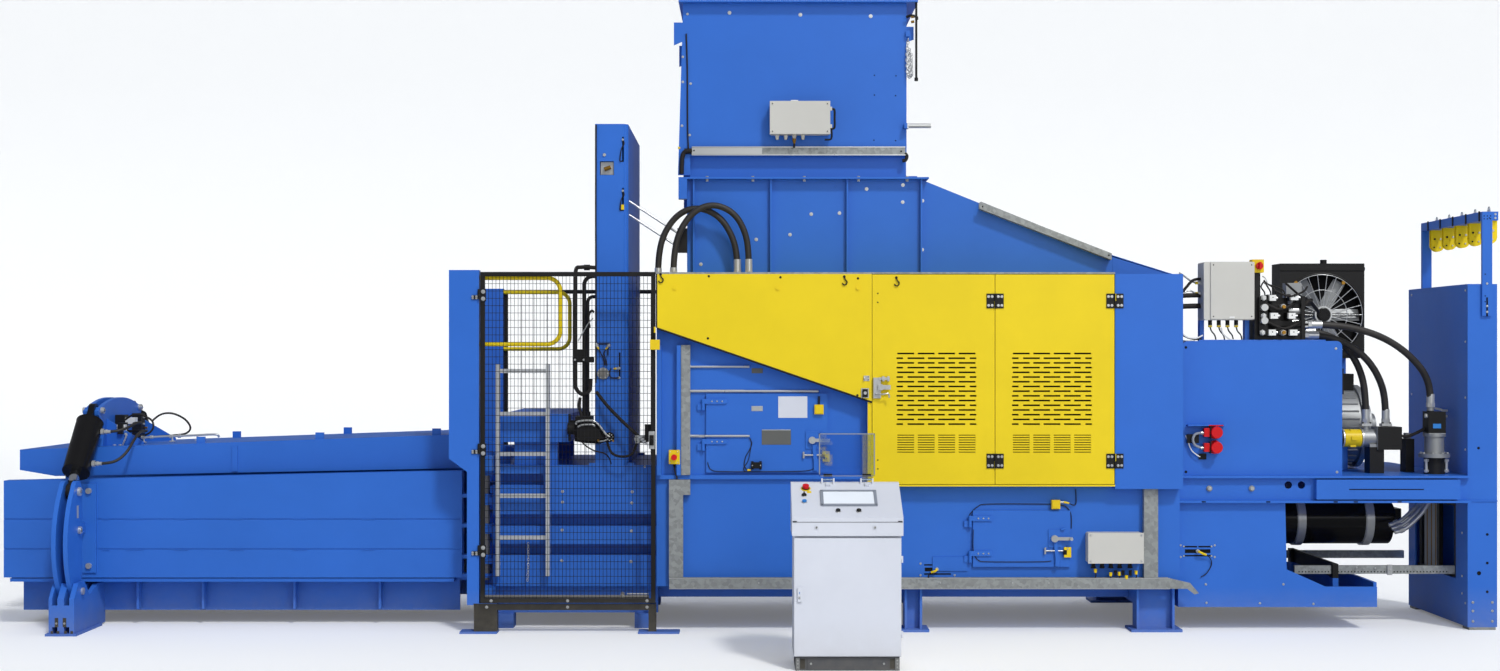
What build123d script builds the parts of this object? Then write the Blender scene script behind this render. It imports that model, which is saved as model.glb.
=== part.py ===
from build123d import *
import math
import os

os.makedirs("parts", exist_ok=True)

# Layout: x along the machine, y away from the front, z up from the floor
line_y = 710
front_y = -950
skin_y = -850
band_y = -700
wall_outer_y = -650
channel_y = -550
channel_floor = 340
channel_roof = 1092
roof_top = 1130
floor_under = 316

# Positions along the machine
chute_left = -5190
clamp_x0 = -4700
clamp_x1 = -4590
chute_right = -2047
portal_x = -1782
frame_left = -640
feed_left = -350
feed_right = 1150
column_x0 = 2482
frame_right = 2944
deck_right = 4942
cabinet_x0 = 4942
cabinet_x1 = 5145

# Upper heights
hood_top = 2445
shaft_top = 3125
deck_top = 1065

# Clearances and pins
running_gap = 3
pin_gap = 0.5
eye_gap = 3
seat_gap = 0.3


# Small tools for upright and flat plates

def block(x0, x1, y0, y1, z0, z1, mode=Mode.ADD):
    with Locations(((x0 + x1) / 2, (y0 + y1) / 2, (z0 + z1) / 2)):
        Box(x1 - x0, y1 - y0, z1 - z0, mode=mode)


def side_plate(points, y0, y1, mode=Mode.ADD):
    with BuildSketch(Plane.XZ.offset(-y0)) as outline:
        Polygon(*points, align=None)
    extrude(outline.sketch, amount=-(y1 - y0), mode=mode)


def end_plate(points, x0, x1, mode=Mode.ADD):
    with BuildSketch(Plane.YZ.offset(x0)) as outline:
        Polygon(*points, align=None)
    extrude(outline.sketch, amount=x1 - x0, mode=mode)


def bar(start, end, radius, mode=Mode.ADD):
    along = Vector(*end) - Vector(*start)
    with BuildSketch(Plane(origin=start, z_dir=along)) as ring:
        Circle(radius)
    extrude(ring.sketch, amount=along.length, mode=mode)


# Plates of a welded piece: a new plate stops at those before it, so that they only touch
def meets(one, other):
    low, high = one.bounding_box().min, one.bounding_box().max
    other_low, other_high = other.bounding_box().min, other.bounding_box().max
    spans = zip(tuple(low), tuple(high), tuple(other_low), tuple(other_high))
    return all(low_a < high_b - 0.01 and low_b < high_a - 0.01
               for low_a, high_a, low_b, high_b in spans)


def weld(plates, shape, *sizes):
    with BuildPart() as plate:
        shape(*sizes)
        for other in plates:
            if meets(plate.part, other):
                add(other, mode=Mode.SUBTRACT)
    plates.extend(plate.part.solids())


def panels_around(x0, x1, z0, z1, holes):
    panels = []
    left = x0
    for hole_x0, hole_x1, hole_z0, hole_z1 in holes:
        panels.append((left, hole_x0, z0, z1))
        panels.append((hole_x0, hole_x1, z0, hole_z0))
        panels.append((hole_x0, hole_x1, hole_z1, z1))
        left = hole_x1
    panels.append((left, x1, z0, z1))
    return panels


def tube(points, radii, radius):
    with BuildLine() as path:
        FilletPolyline(*points, radius=radii)
    line = path.wires()[0]
    with BuildSketch(Plane(origin=line @ 0, z_dir=line % 0)) as ring:
        Circle(radius)
    sweep(ring.sketch, path=line)


def hose(name, points, radius):
    radii = []
    for before, here, after in zip(points, points[1:], points[2:]):
        arrive = Vector(*here) - Vector(*before)
        leave = Vector(*after) - Vector(*here)
        turn = math.radians(arrive.get_angle(leave))
        radii.append(0.45 * min(arrive.length, leave.length) / math.tan(turn / 2))
    with BuildLine() as path:
        FilletPolyline(*points, radius=radii)
    line = path.wires()[0]
    with BuildPart() as cord:
        with BuildSketch(Plane(origin=line @ 0, z_dir=line % 0)) as ring:
            Circle(radius)
        sweep(ring.sketch, path=line)
    section = math.pi * radius ** 2 * line.length
    print(name, "length", round(line.length), "radii", [round(r) for r in radii],
          "volume share", round(cord.part.volume / section, 3))
    return cord.part


# Floor of the bale channel with its underframe and the clamp feet
beam_half = 450
foot_front = 1064
lever_pin_y = 915
lever_pin_z = 285
lever_pin_radius = 24
fork_plates = ((-4726, -4703), (-4667, -4623), (-4587, -4554))
with BuildPart() as channel_floor_part:
    block(chute_left + 40, -2060, -640, 640, floor_under, channel_floor)
    block(-2060, portal_x, -540, 540, floor_under, channel_floor)
    block(-5127, chute_right, -beam_half, beam_half, 95, floor_under)
    block(-5107, chute_right, -beam_half + 20, beam_half - 20, 95, floor_under - 20,
          mode=Mode.SUBTRACT)
    for rib_x in (-4300, -3841, -3200, -2600):
        for side in (-1, 1):
            y0, y1 = sorted((side * (beam_half + 70), side * (beam_half - 5)))
            block(rib_x - 8, rib_x + 8, y0, y1, 110, floor_under)
        block(rib_x - 8, rib_x + 8, -beam_half + 5, beam_half - 5, 110, floor_under)
    for side in (-1, 1):
        fork = [(side * y, z) for y, z in (
            (440, 300), (440, 10), (foot_front, 10), (foot_front, 250),
            (985, 345), (860, 345), (760, 240), (600, 300))]
        for x0, x1 in fork_plates:
            end_plate(fork, x0, x1)
        y0, y1 = sorted((side * foot_front, side * (foot_front - 22)))
        block(fork_plates[0][0], fork_plates[2][1], y0, y1, 60, 205)
        y0, y1 = sorted((side * (foot_front + 20), side * 560))
        block(-4745, -4535, y0, y1, 0, 16)
        bar((fork_plates[0][0] - 14, side * lever_pin_y, lever_pin_z),
            (fork_plates[2][1] + 14, side * lever_pin_y, lever_pin_z), lever_pin_radius)
channel_floor_part.part.label = "channel_floor"

# Side walls of the bale channel, hinged on upright pins
wall_bottom = 346
wall_top_left = 1020
wall_top_right = 1090
wall_right = -2003
hinge_x = -1836
hinge_y = 600
hinge_radius = 22
lug_heights = (357, 489, 705, 913)
with BuildPart() as wall_front:
    wall_outline = [(chute_left, wall_bottom), (wall_right, wall_bottom),
                    (wall_right, wall_top_right), (chute_left, wall_top_left)]
    side_plate(wall_outline, wall_outer_y, channel_y)
    block(chute_left - 1, -2080, wall_outer_y + 20, channel_y - 20,
          wall_bottom + 20, wall_top_left - 25, mode=Mode.SUBTRACT)
    for groove_z in (545, 753):
        block(chute_left, wall_right, wall_outer_y, wall_outer_y + 5, groove_z - 3,
              groove_z + 3, mode=Mode.SUBTRACT)
    block(-4640, -4542, wall_outer_y - 14, wall_outer_y, 381, 1000)
    for bolt_z in (430, 950):
        bar((-4591, wall_outer_y - 14, bolt_z), (-4591, wall_outer_y - 34, bolt_z), 20)
    for lug_z in lug_heights:
        block(wall_right - 5, hinge_x, -645, -555, lug_z - 11, lug_z + 15)
        bar((hinge_x, -hinge_y, lug_z - 11), (hinge_x, -hinge_y, lug_z + 15), 50)
        bar((hinge_x, -hinge_y, lug_z - 12), (hinge_x, -hinge_y, lug_z + 16),
            hinge_radius + pin_gap, mode=Mode.SUBTRACT)
wall_front.part.label = "channel_wall_front"
with BuildPart() as wall_back:
    add(wall_front.part.mirror(Plane.XZ))
wall_back.part.label = "channel_wall_back"

# Lid of the bale channel with the curved bridge that carries the clamp cylinders
lid_half = 500
lid_hinge_x = -2000
lid_hinge_z = 1200
lid_pin_radius = 25
clamp_y = 420
clamp_z = 1500
clamp_pin = 24
bridge_plates = ((clamp_x0, clamp_x0 + 30), (clamp_x1 - 30, clamp_x1))
with BuildPart() as lid:
    side_plate([(-5135, 1228), (-5135, 1085), (-4882, 1042), (-2060, 1097), (-2060, 1335)],
               -lid_half, lid_half)
    side_plate([(-4900, 1208), (-4900, 1066), (-4860, 1064), (-2040, 1117), (-2040, 1312)],
               -lid_half + 20, lid_half - 20, mode=Mode.SUBTRACT)
    block(-2070, -1800, -530, 530, 1097, 1118)
    for side in (-1, 1):
        y0, y1 = sorted((side * 300, side * 400))
        side_plate([(-2065, 1110), (-2065, 1320), (-2030, 1255), (-1975, 1235),
                    (-1955, 1180), (-1975, 1110)], y0, y1)
        bar((lid_hinge_x, side * 290, lid_hinge_z), (lid_hinge_x, side * 410, lid_hinge_z),
            lid_pin_radius + pin_gap, mode=Mode.SUBTRACT)
        y0, y1 = sorted((side * lid_half, side * (lid_half + 8)))
        block(-3642, -3602, y0, y1, 1075, 1250)
        for tab_x, tab_z in ((-3869, 1268), (-3032, 1298), (-2209, 1326)):
            y0, y1 = sorted((side * 480, side * 460))
            block(tab_x - 30, tab_x + 30, y0, y1, tab_z, tab_z + 50)
    for x0, x1 in bridge_plates:
        with BuildSketch(Plane.YZ.offset(x0)) as bridge:
            with BuildLine():
                ThreePointArc((-475, 1500), (0, 1585), (475, 1500))
                Polyline((475, 1500), (470, 1470), (360, 1340), (400, 1225), (-400, 1225),
                         (-360, 1340), (-470, 1470), (-475, 1500))
            make_face()
        extrude(bridge.sketch, amount=x1 - x0)
    block(clamp_x0 + 25, clamp_x1 - 25, -300, 300, 1225, 1480)
    for side in (-1, 1):
        bar((clamp_x0 - 16, side * clamp_y, clamp_z), (clamp_x1 + 16, side * clamp_y, clamp_z),
            clamp_pin)
    for gusset_y, gusset_right in ((-300, -4328), (380, -4305)):
        side_plate([(clamp_x1 - 5, 1225), (clamp_x1 - 5, 1440), (gusset_right, 1272),
                    (gusset_right, 1225)], gusset_y, gusset_y + 16)
    for valve_y in (-130, 250):
        block(clamp_x1 - 2, clamp_x1 + 70, valve_y, valve_y + 90, 1300, 1460)
lid.part.label = "channel_lid"

# Clamp levers: two curved plates joined by a thrust block
lever_top_y = 880
lever_top_z = 960
lever_pin_top = 31
with BuildPart() as lever_front:
    for x0, x1 in bridge_plates:
        with BuildSketch(Plane.YZ.offset(x0)) as lever:
            with BuildLine():
                ThreePointArc((-952, 985), (-1090, 640), (-974, 262))
                Polyline((-974, 262), (-945, 228), (-885, 228), (-858, 262), (-800, 400),
                         (-800, 880), (-812, 985))
                ThreePointArc((-812, 985), (-882, 1035), (-952, 985))
            make_face()
        extrude(lever.sketch, amount=x1 - x0)
    block(clamp_x0 + 25, clamp_x1 - 25, -930, -720, 655, 737)
    side_plate([(clamp_x0 + 25, 660), (clamp_x1 - 25, 660), (clamp_x1 - 25, 732),
                (clamp_x0 + 25, 732)], -725, wall_outer_y - 14 - running_gap)
    bar((clamp_x0 - 14, -lever_top_y, lever_top_z), (clamp_x1 + 14, -lever_top_y, lever_top_z),
        lever_pin_top)
    bar((clamp_x0 - 14, -871, 696), (clamp_x1 + 14, -871, 696), 26)
    bar((clamp_x0 - 30, -lever_pin_y, lever_pin_z), (clamp_x1 + 30, -lever_pin_y, lever_pin_z),
        lever_pin_radius + pin_gap, mode=Mode.SUBTRACT)
lever_front.part.label = "clamp_lever_front"
with BuildPart() as lever_back:
    add(lever_front.part.mirror(Plane.XZ))
lever_back.part.label = "clamp_lever_back"

# Clamp cylinders between the bridge and the lever tops
clamp_mid = (clamp_x0 + clamp_x1) / 2
clamp_start = Vector(clamp_mid, -clamp_y, clamp_z)
clamp_line = Vector(0, clamp_y - lever_top_y, lever_top_z - clamp_z)
clamp_length = clamp_line.length
clamp_plane = Plane(origin=clamp_start, x_dir=(1, 0, 0), z_dir=clamp_line)
clamp_bore = 72
clamp_rod = 36
with BuildPart() as barrel_front:
    bar((clamp_mid - 22, -clamp_y, clamp_z), (clamp_mid + 22, -clamp_y, clamp_z), 50)
    with BuildSketch(clamp_plane) as neck:
        Rectangle(44, 90)
    extrude(neck.sketch, amount=115)
    with BuildSketch(clamp_plane.offset(105)) as shell:
        Circle(92)
    extrude(shell.sketch, amount=440)
    with BuildSketch(clamp_plane.offset(135)) as bore:
        Circle(clamp_bore)
    extrude(bore.sketch, amount=385, mode=Mode.SUBTRACT)
    with BuildSketch(clamp_plane.offset(500)) as gland:
        Circle(clamp_rod + pin_gap)
    extrude(gland.sketch, amount=60, mode=Mode.SUBTRACT)
    for port in (190, 470):
        middle = clamp_start + clamp_line.normalized() * port
        bar((clamp_mid + 80, middle.Y, middle.Z), (clamp_mid + 118, middle.Y, middle.Z), 18)
    bar((clamp_mid - 30, -clamp_y, clamp_z), (clamp_mid + 30, -clamp_y, clamp_z),
        clamp_pin + pin_gap, mode=Mode.SUBTRACT)
barrel_front.part.label = "clamp_barrel_front"
with BuildPart() as barrel_back:
    add(barrel_front.part.mirror(Plane.XZ))
barrel_back.part.label = "clamp_barrel_back"
with BuildPart() as rod_front:
    with BuildSketch(clamp_plane.offset(445)) as head:
        Circle(clamp_bore - 0.6)
    extrude(head.sketch, amount=40)
    with BuildSketch(clamp_plane.offset(445)) as stem:
        Circle(clamp_rod)
    extrude(stem.sketch, amount=clamp_length - 445 - 80)
    with BuildSketch(clamp_plane.offset(clamp_length - 90)) as neck:
        Rectangle(30, 72)
    extrude(neck.sketch, amount=70)
    bar((clamp_mid - 15, -lever_top_y, lever_top_z), (clamp_mid + 15, -lever_top_y, lever_top_z),
        56)
    bar((clamp_mid - 40, -lever_top_y, lever_top_z), (clamp_mid + 40, -lever_top_y, lever_top_z),
        lever_pin_top + eye_gap, mode=Mode.SUBTRACT)
rod_front.part.label = "clamp_rod_front"
with BuildPart() as rod_back:
    add(rod_front.part.mirror(Plane.XZ))
rod_back.part.label = "clamp_rod_back"

# Tie section: columns, channel bands, slotted floor and roof, wall pins
needle_x = -960
needle_ys = (-440, -220, 0, 220, 440)
slot_half = 24
column_back = front_y + 80
sill_back = front_y + 40
band_heights = ((293, 508), (584, 709), (792, 993), (1070, channel_roof + 5))
tie_plates = []


def slotted_plate(half, z0, z1):
    block(portal_x, frame_left, -half, half, z0, z1)
    for slot_y in needle_ys:
        block(needle_x - slot_half, needle_x + slot_half, slot_y - slot_half, slot_y + slot_half,
              z0 - 5, z1 + 5, mode=Mode.SUBTRACT)


def wall_lugs(side):
    y0, y1 = sorted((side * 560, side * 640))
    lug_under = [lug_z - 11 - seat_gap for lug_z in lug_heights]
    for z0, z1 in ((440, lug_under[1]), (650, lug_under[2]), (850, lug_under[3]), (1055, 1090)):
        block(-1872, portal_x, y0, y1, z0, z1)
    bar((hinge_x, side * hinge_y, 325), (hinge_x, side * hinge_y, 1095), hinge_radius)


def lid_bracket(side):
    y0, y1 = sorted((side * 412, side * 462))
    side_plate([(-2045, 1165), (-2045, 1240), (-1985, 1250), (-1690, 1180), (-1690, roof_top),
                (portal_x, roof_top), (-1800, 1135), (-1960, 1150)], y0, y1)
    bar((lid_hinge_x, side * 285, lid_hinge_z), (lid_hinge_x, side * 475, lid_hinge_z),
        lid_pin_radius)


weld(tie_plates, slotted_plate, 640, floor_under, channel_floor)
weld(tie_plates, slotted_plate, -band_y, channel_roof, roof_top)
for side in (-1, 1):
    y0, y1 = sorted((side * -channel_y, side * (-channel_y + 22)))
    weld(tie_plates, block, portal_x, frame_left, y0, y1, channel_floor, channel_roof)
    y0, y1 = sorted((side * (-channel_y + 22), side * -band_y))
    for z0, z1 in band_heights:
        weld(tie_plates, block, portal_x, frame_left, y0, y1, z0, z1)
    weld(tie_plates, block, -1431, frame_left, y0, y1, 993, 1070)
    weld(tie_plates, wall_lugs, side)
    weld(tie_plates, lid_bracket, side)
    y0, y1 = sorted((side * 590, side * 640))
    weld(tie_plates, block, portal_x, frame_left, y0, y1, 102, 293)
    y0, y1 = sorted((side * 540, side * 690))
    for foot_x in (-1760, -800):
        weld(tie_plates, block, foot_x, foot_x + 120, y0, y1, 0, 102)
weld(tie_plates, side_plate, [(chute_right, 1190), (-1924, 1099), (-1924, 2472),
                              (chute_right, 2472)], front_y, column_back)
weld(tie_plates, block, -1924, -1843, front_y, column_back, 194, 2472)
weld(tie_plates, block, -2065, -1914, 870, 950, 0, 2407)
for stay_z in (200, 1100):
    weld(tie_plates, block, -1924, -1762, column_back, band_y + 10, stay_z, stay_z + 100)
    weld(tie_plates, block, -1924, -1762, -band_y - 10, 870, stay_z, stay_z + 100)
weld(tie_plates, block, -1972, -1720, front_y - 20, front_y + 110, 0, 15)
weld(tie_plates, block, -760, -480, front_y - 20, front_y + 110, 0, 15)
weld(tie_plates, block, -1877, -1720, front_y, column_back, 15, 205)
weld(tie_plates, block, -1720, frame_left, front_y, sill_back, 160, 200)
weld(tie_plates, block, -690, frame_left, front_y, column_back, 15, 200)
for beam_x in (-1700, -760):
    weld(tie_plates, block, beam_x, beam_x + 40, -600, 600, 110, 200)

# Front and back sides of the press frame
chamber_hole = (-260, 480, 1125, 1600)
ram_hole = (1560, 2110, 480, 790)


def frame_side(skin_holes, wall_holes):
    plates = []
    inside = skin_y + 20
    outside = channel_y - 20
    for x0, x1, z0, z1 in panels_around(frame_left, frame_right, 310, hood_top, skin_holes):
        weld(plates, block, x0, x1, skin_y, inside, z0, z1)
    for x0, x1, z0, z1 in panels_around(frame_left, frame_right, floor_under, roof_top,
                                        wall_holes):
        weld(plates, block, x0, x1, outside, channel_y, z0, z1)
    weld(plates, block, frame_left, frame_right, inside, outside, 310, 330)
    weld(plates, block, frame_left, frame_right, inside, outside, roof_top - 20, roof_top)
    for rib_x in (frame_left, -400, 490, 1180, 2125, frame_right - 24):
        weld(plates, block, rib_x, rib_x + 24, inside, outside, 330, roof_top - 20)
    weld(plates, block, frame_left, 800, skin_y - 30, skin_y, 1045, 1073)
    for post_x in (frame_left + 5, -500):
        weld(plates, block, post_x, post_x + 28, skin_y - 60, skin_y, 1073, 1960)
    return plates


front_plates = frame_side((chamber_hole, ram_hole), (ram_hole,))
for strip_z, strip_right in ((1819, -40), (1648, -40), (1339, -310)):
    weld(front_plates, block, -404, strip_right, skin_y - 16, skin_y, strip_z - 8, strip_z + 8)
weld(front_plates, block, 1250, 1490, skin_y - 8, skin_y, 415, 511)
back_plates = [plate.mirror(Plane.XZ) for plate in frame_side((), ())]
weld(back_plates, block, frame_left, 2546, 520, -skin_y, hood_top, hood_top + 12)
frame_back = Compound(label="frame_back", children=back_plates)

# Floor, roof, end wall and legs of the press channel
rod_radius = 110
cylinder_z = 700
with BuildPart() as press_channel:
    block(frame_left, frame_right, channel_y, -channel_y, floor_under, channel_floor)
    block(frame_left, feed_left, channel_y, -channel_y, channel_roof, roof_top)
    block(feed_right + 40, frame_right, channel_y, -channel_y, channel_roof, roof_top)
    block(frame_right - 24, frame_right, channel_y, -channel_y, floor_under, roof_top)
    bar((frame_right - 60, 0, cylinder_z), (frame_right + 20, 0, cylinder_z), rod_radius + 25,
        mode=Mode.SUBTRACT)
    for side in (-1, 1):
        y0, y1 = sorted((side * 490, side * 550))
        block(frame_left, frame_right, y0, y1, 200, floor_under)
        for leg_x0, leg_x1 in ((1060, 1180), (2650, 2910)):
            y0, y1 = sorted((side * 700, side * 846))
            end_plate([(y0, 15), (y1, 15), (y1, 310), (y0, 310)], leg_x0, leg_x0 + 16)
            end_plate([(y0, 15), (y1, 15), (y1, 310), (y0, 310)], leg_x1 - 16, leg_x1)
            y2, y3 = sorted((side * 760, side * 784))
            block(leg_x0, leg_x1, y2, y3, 15, 310)
            y2, y3 = sorted((side * 660, side * 890))
            block(leg_x0 - 45, leg_x1 + 45, y2, y3, 0, 18)
    for leg_x0, leg_x1 in ((1060, 1180), (2650, 2910)):
        block(leg_x0, leg_x1, -705, 705, 180, 300)
    for cross_x in (-500, 200, 1900):
        block(cross_x, cross_x + 60, -500, 500, 200, floor_under)
press_channel.part.label = "press_channel"

# Feed shaft above the press chamber, with the housing of the filling flap
shaft_half = 500
flap_x = 1180
flap_z = 1200
flap_pin = 30
trunnion_x = 2400
trunnion_z = 1650
trunnion_radius = 28
slope_x = 1203
shaft_right = 2546
slope_low = 2583
shaft_wall = 20
flange_high = 12
hatch_hole = (-420, 440, 1180, 1560)
shaft_plates = []


def trunnion_plate(side):
    y0, y1 = sorted((side * 95, side * 120))
    side_plate([(2350, 1600), (2350, 1700), (2540, 1780), (2540, 1520)], y0, y1)
    bar((trunnion_x, y0, trunnion_z), (trunnion_x, y1, trunnion_z), trunnion_radius + pin_gap,
        mode=Mode.SUBTRACT)


for side, holes in ((-1, (hatch_hole,)), (1, ())):
    y0, y1 = sorted((side * shaft_half, side * (shaft_half + shaft_wall)))
    for x0, x1, z0, z1 in panels_around(-442, slope_x, roof_top, shaft_top, holes):
        weld(shaft_plates, block, x0, x1, y0, y1, z0, z1)
    weld(shaft_plates, side_plate, [(slope_x, roof_top), (shaft_right, roof_top),
                                    (shaft_right, slope_low), (slope_x, shaft_top)], y0, y1)
weld(shaft_plates, block, -442, -422, -shaft_half, shaft_half, roof_top, shaft_top)
weld(shaft_plates, side_plate, [(shaft_right - shaft_wall, roof_top), (shaft_right, roof_top),
                                (shaft_right, slope_low), (shaft_right - shaft_wall, slope_low + 8)],
     -shaft_half, shaft_half)
weld(shaft_plates, side_plate, [(slope_x - 11, shaft_top), (slope_x, shaft_top),
                                (shaft_right, slope_low), (shaft_right - shaft_wall, slope_low - 14),
                                (slope_x - 4, shaft_top - 21)], -shaft_half, shaft_half)
for side in (-1, 1):
    y0, y1 = sorted((side * shaft_half, side * 590))
    weld(shaft_plates, block, -500, 1250, y0, y1, shaft_top, shaft_top + flange_high)
    weld(shaft_plates, block, -500, -440, y0, y1, 2985, shaft_top)
    y0, y1 = sorted((side * (shaft_half + shaft_wall), side * (shaft_half + 60)))
    for rib_x in (-400, 141, 676, 1195):
        weld(shaft_plates, block, rib_x, rib_x + 12, y0, y1, hood_top + 20, shaft_top)
    weld(shaft_plates, bar, (flap_x, side * shaft_half, flap_z),
         (flap_x, side * (shaft_half - 60), flap_z), flap_pin)
    weld(shaft_plates, trunnion_plate, side)
for x0, x1 in ((-500, -402), (1180, 1250)):
    weld(shaft_plates, block, x0, x1, -shaft_half, shaft_half, shaft_top, shaft_top + flange_high)
feed_shaft = Compound(label="feed_shaft", children=shaft_plates)

# Filling flap, drawn shut and turned back to its open rest
flap_open = 100
lug_arm = 320
lug_lift = math.radians(140)
lug_shut = (flap_x + lug_arm * math.cos(lug_lift), flap_z + lug_arm * math.sin(lug_lift))
with BuildPart() as flap_shut:
    block(-315, flap_x, -488, 488, 1140, 1165)
    for rib_y in (-488, -250, -95, 70, 225, 463):
        block(-315, flap_x, rib_y, rib_y + 25, 1160, 1235)
    block(-315, -290, -488, 488, 1160, 1235)
    bar((flap_x, -488, flap_z), (flap_x, 488, flap_z), 58)
    bar((flap_x, -489, flap_z), (flap_x, -425, flap_z), flap_pin + pin_gap, mode=Mode.SUBTRACT)
    bar((flap_x, 425, flap_z), (flap_x, 489, flap_z), flap_pin + pin_gap, mode=Mode.SUBTRACT)
    for side in (-1, 1):
        y0, y1 = sorted((side * 45, side * 70))
        side_plate([(flap_x, 1180), (flap_x + 30, 1230), (lug_shut[0] + 45, lug_shut[1] + 30),
                    (lug_shut[0] - 10, lug_shut[1] + 50), (lug_shut[0] - 50, lug_shut[1]),
                    (lug_shut[0] - 150, 1180)], y0, y1)
        bar((lug_shut[0], y0 - 8, lug_shut[1]), (lug_shut[0], y1 + 8, lug_shut[1]), 40)
flap_axis = Axis((flap_x, 0, flap_z), (0, 1, 0))
flap = flap_shut.part.rotate(flap_axis, flap_open)
flap.label = "prepress_flap"

# Filling cylinder between the housing and the flap lugs
lug_rest_angle = lug_lift - math.radians(flap_open)
lug_rest = (flap_x + lug_arm * math.cos(lug_rest_angle),
            flap_z + lug_arm * math.sin(lug_rest_angle))
pre_start = Vector(trunnion_x, 0, trunnion_z)
pre_line = Vector(lug_rest[0] - trunnion_x, 0, lug_rest[1] - trunnion_z)
pre_length = pre_line.length
pre_plane = Plane(origin=pre_start, x_dir=(0, 1, 0), z_dir=pre_line)
pre_bore = 55
pre_rod = 30
with BuildPart() as pre_barrel:
    bar((trunnion_x, -92, trunnion_z), (trunnion_x, 92, trunnion_z), 48)
    bar((trunnion_x, -125, trunnion_z), (trunnion_x, 125, trunnion_z), trunnion_radius)
    with BuildSketch(pre_plane.offset(-80)) as shell:
        Circle(72)
    extrude(shell.sketch, amount=900)
    with BuildSketch(pre_plane.offset(60)) as bore:
        Circle(pre_bore)
    extrude(bore.sketch, amount=720, mode=Mode.SUBTRACT)
    with BuildSketch(pre_plane.offset(770)) as gland:
        Circle(pre_rod + pin_gap)
    extrude(gland.sketch, amount=60, mode=Mode.SUBTRACT)
pre_barrel.part.label = "prepress_barrel"
with BuildPart() as pre_rod_part:
    with BuildSketch(pre_plane.offset(75)) as head:
        Circle(pre_bore - 0.6)
    extrude(head.sketch, amount=50)
    with BuildSketch(pre_plane.offset(80)) as stem:
        Circle(pre_rod)
    extrude(stem.sketch, amount=pre_length - 80 - 30)
    bar((lug_rest[0], -34, lug_rest[1]), (lug_rest[0], 34, lug_rest[1]), 48)
    bar((lug_rest[0], -40, lug_rest[1]), (lug_rest[0], 40, lug_rest[1]), 22, mode=Mode.SUBTRACT)
pre_rod_part.part.label = "prepress_rod"

# Hopper on the shaft flange
hopper_bottom = shaft_top + flange_high
hopper_top = 4377
neck_high = 153
neck_half = shaft_half - 30
lip_high = 14
hopper_wall = 12
rod_z = hopper_bottom + 361
with BuildPart() as hopper:
    neck_top = hopper_bottom + neck_high
    block(-422, 1100, -shaft_half - hopper_wall, shaft_half + hopper_wall, neck_top, hopper_top)
    block(-422, 1100, -neck_half, neck_half, hopper_bottom, neck_top + 2)
    block(-410, 1088, -neck_half + hopper_wall, neck_half - hopper_wall, hopper_bottom - 5,
          neck_top + 15, mode=Mode.SUBTRACT)
    block(-410, 1088, -shaft_half, shaft_half, neck_top + hopper_wall, hopper_top + 5,
          mode=Mode.SUBTRACT)
    for side in (-1, 1):
        y0, y1 = sorted((side * 580, side * (shaft_half + 10)))
        block(-500, 1175, y0, y1, hopper_top - lip_high, hopper_top)
        y0, y1 = sorted((side * (shaft_half + 12), side * (shaft_half + 2)))
        side_plate([(-506, hopper_bottom + 20), (-420, hopper_bottom + 20), (-420, hopper_top - 10),
                    (-470, hopper_top - 10)], y0, y1)
        side_plate([(-535, hopper_top - 307), (-465, hopper_top - 277), (-465, hopper_top - 147),
                    (-535, hopper_top - 147)], y0, y1)
        side_plate([(1098, hopper_top - 287), (1150, hopper_top - 267), (1150, hopper_top - 177),
                    (1098, hopper_top - 177)], y0, y1)
        y0, y1 = sorted((side * neck_half, side * (shaft_half + 10)))
        block(-422, 1175, y0, y1, hopper_bottom, hopper_bottom + lip_high)
    block(-500, -420, -580, 580, hopper_top - lip_high, hopper_top)
    block(1098, 1175, -580, 580, hopper_top - lip_high, hopper_top)
    bar((1080, -560, rod_z), (1266, -560, rod_z), 16)
    block(1080, 1110, -575, -505, rod_z - 18, rod_z + 18)
    bar((1164, -560, hopper_top - 555), (1164, -560, hopper_top - 10), 8)
hopper.part.label = "hopper"

# Yellow hood panel with its top cover and posts
hood_split = 829
with BuildPart() as hood_panel:
    side_plate([(-632, hood_top), (-632, 2078), (hood_split, 1575), (hood_split, hood_top)],
               front_y, front_y + 12)
    block(frame_left, column_x0, front_y, -shaft_half - 20, hood_top, hood_top + 12)
    block(-632, -604, front_y + 8, skin_y, 2078, hood_top + 5)
    block(hood_split - 29, hood_split, front_y + 8, skin_y, 1000, hood_top + 5)
    side_plate([(-604, 2068), (-604, 2080), (800, 1597), (800, 1585)], front_y + 10, skin_y)
    block(hood_split - 29, column_x0, front_y, skin_y, 1000, 1012)
    block(column_x0 - 30, column_x0, front_y + 30, skin_y, 1000, hood_top + 5)
    for hook_x in (-510, 190, 735):
        bar((hook_x, front_y, 2350), (hook_x, front_y - 10, 2350), 14)
hood_panel.part.label = "hood_panel"

# Blue corner column beside the hood doors
leaf_half = 50
leaf_wide = 50
leaf_thick = 6
leaf_heights = (1173, 2261)
knuckle = 7
hinge_line_y = front_y - 8
right_pin_x = column_x0 - 2
middle_pin_x = 1666
with BuildPart() as hood_column:
    block(column_x0, frame_right, front_y, skin_y, 983, hood_top)
    block(column_x0 + 10, frame_right - 10, front_y + 10, skin_y, 993, hood_top - 10,
          mode=Mode.SUBTRACT)
    for leaf_z in leaf_heights:
        leaf_low = leaf_z - leaf_half
        leaf_mid = leaf_z - seat_gap
        block(right_pin_x + 8, right_pin_x + 8 + leaf_wide, front_y - leaf_thick, front_y,
              leaf_low, leaf_z + leaf_half)
        block(right_pin_x, right_pin_x + 10, hinge_line_y, front_y, leaf_low, leaf_mid)
        bar((right_pin_x, hinge_line_y, leaf_low), (right_pin_x, hinge_line_y, leaf_mid), knuckle)
hood_column.part.label = "hood_column"

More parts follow.
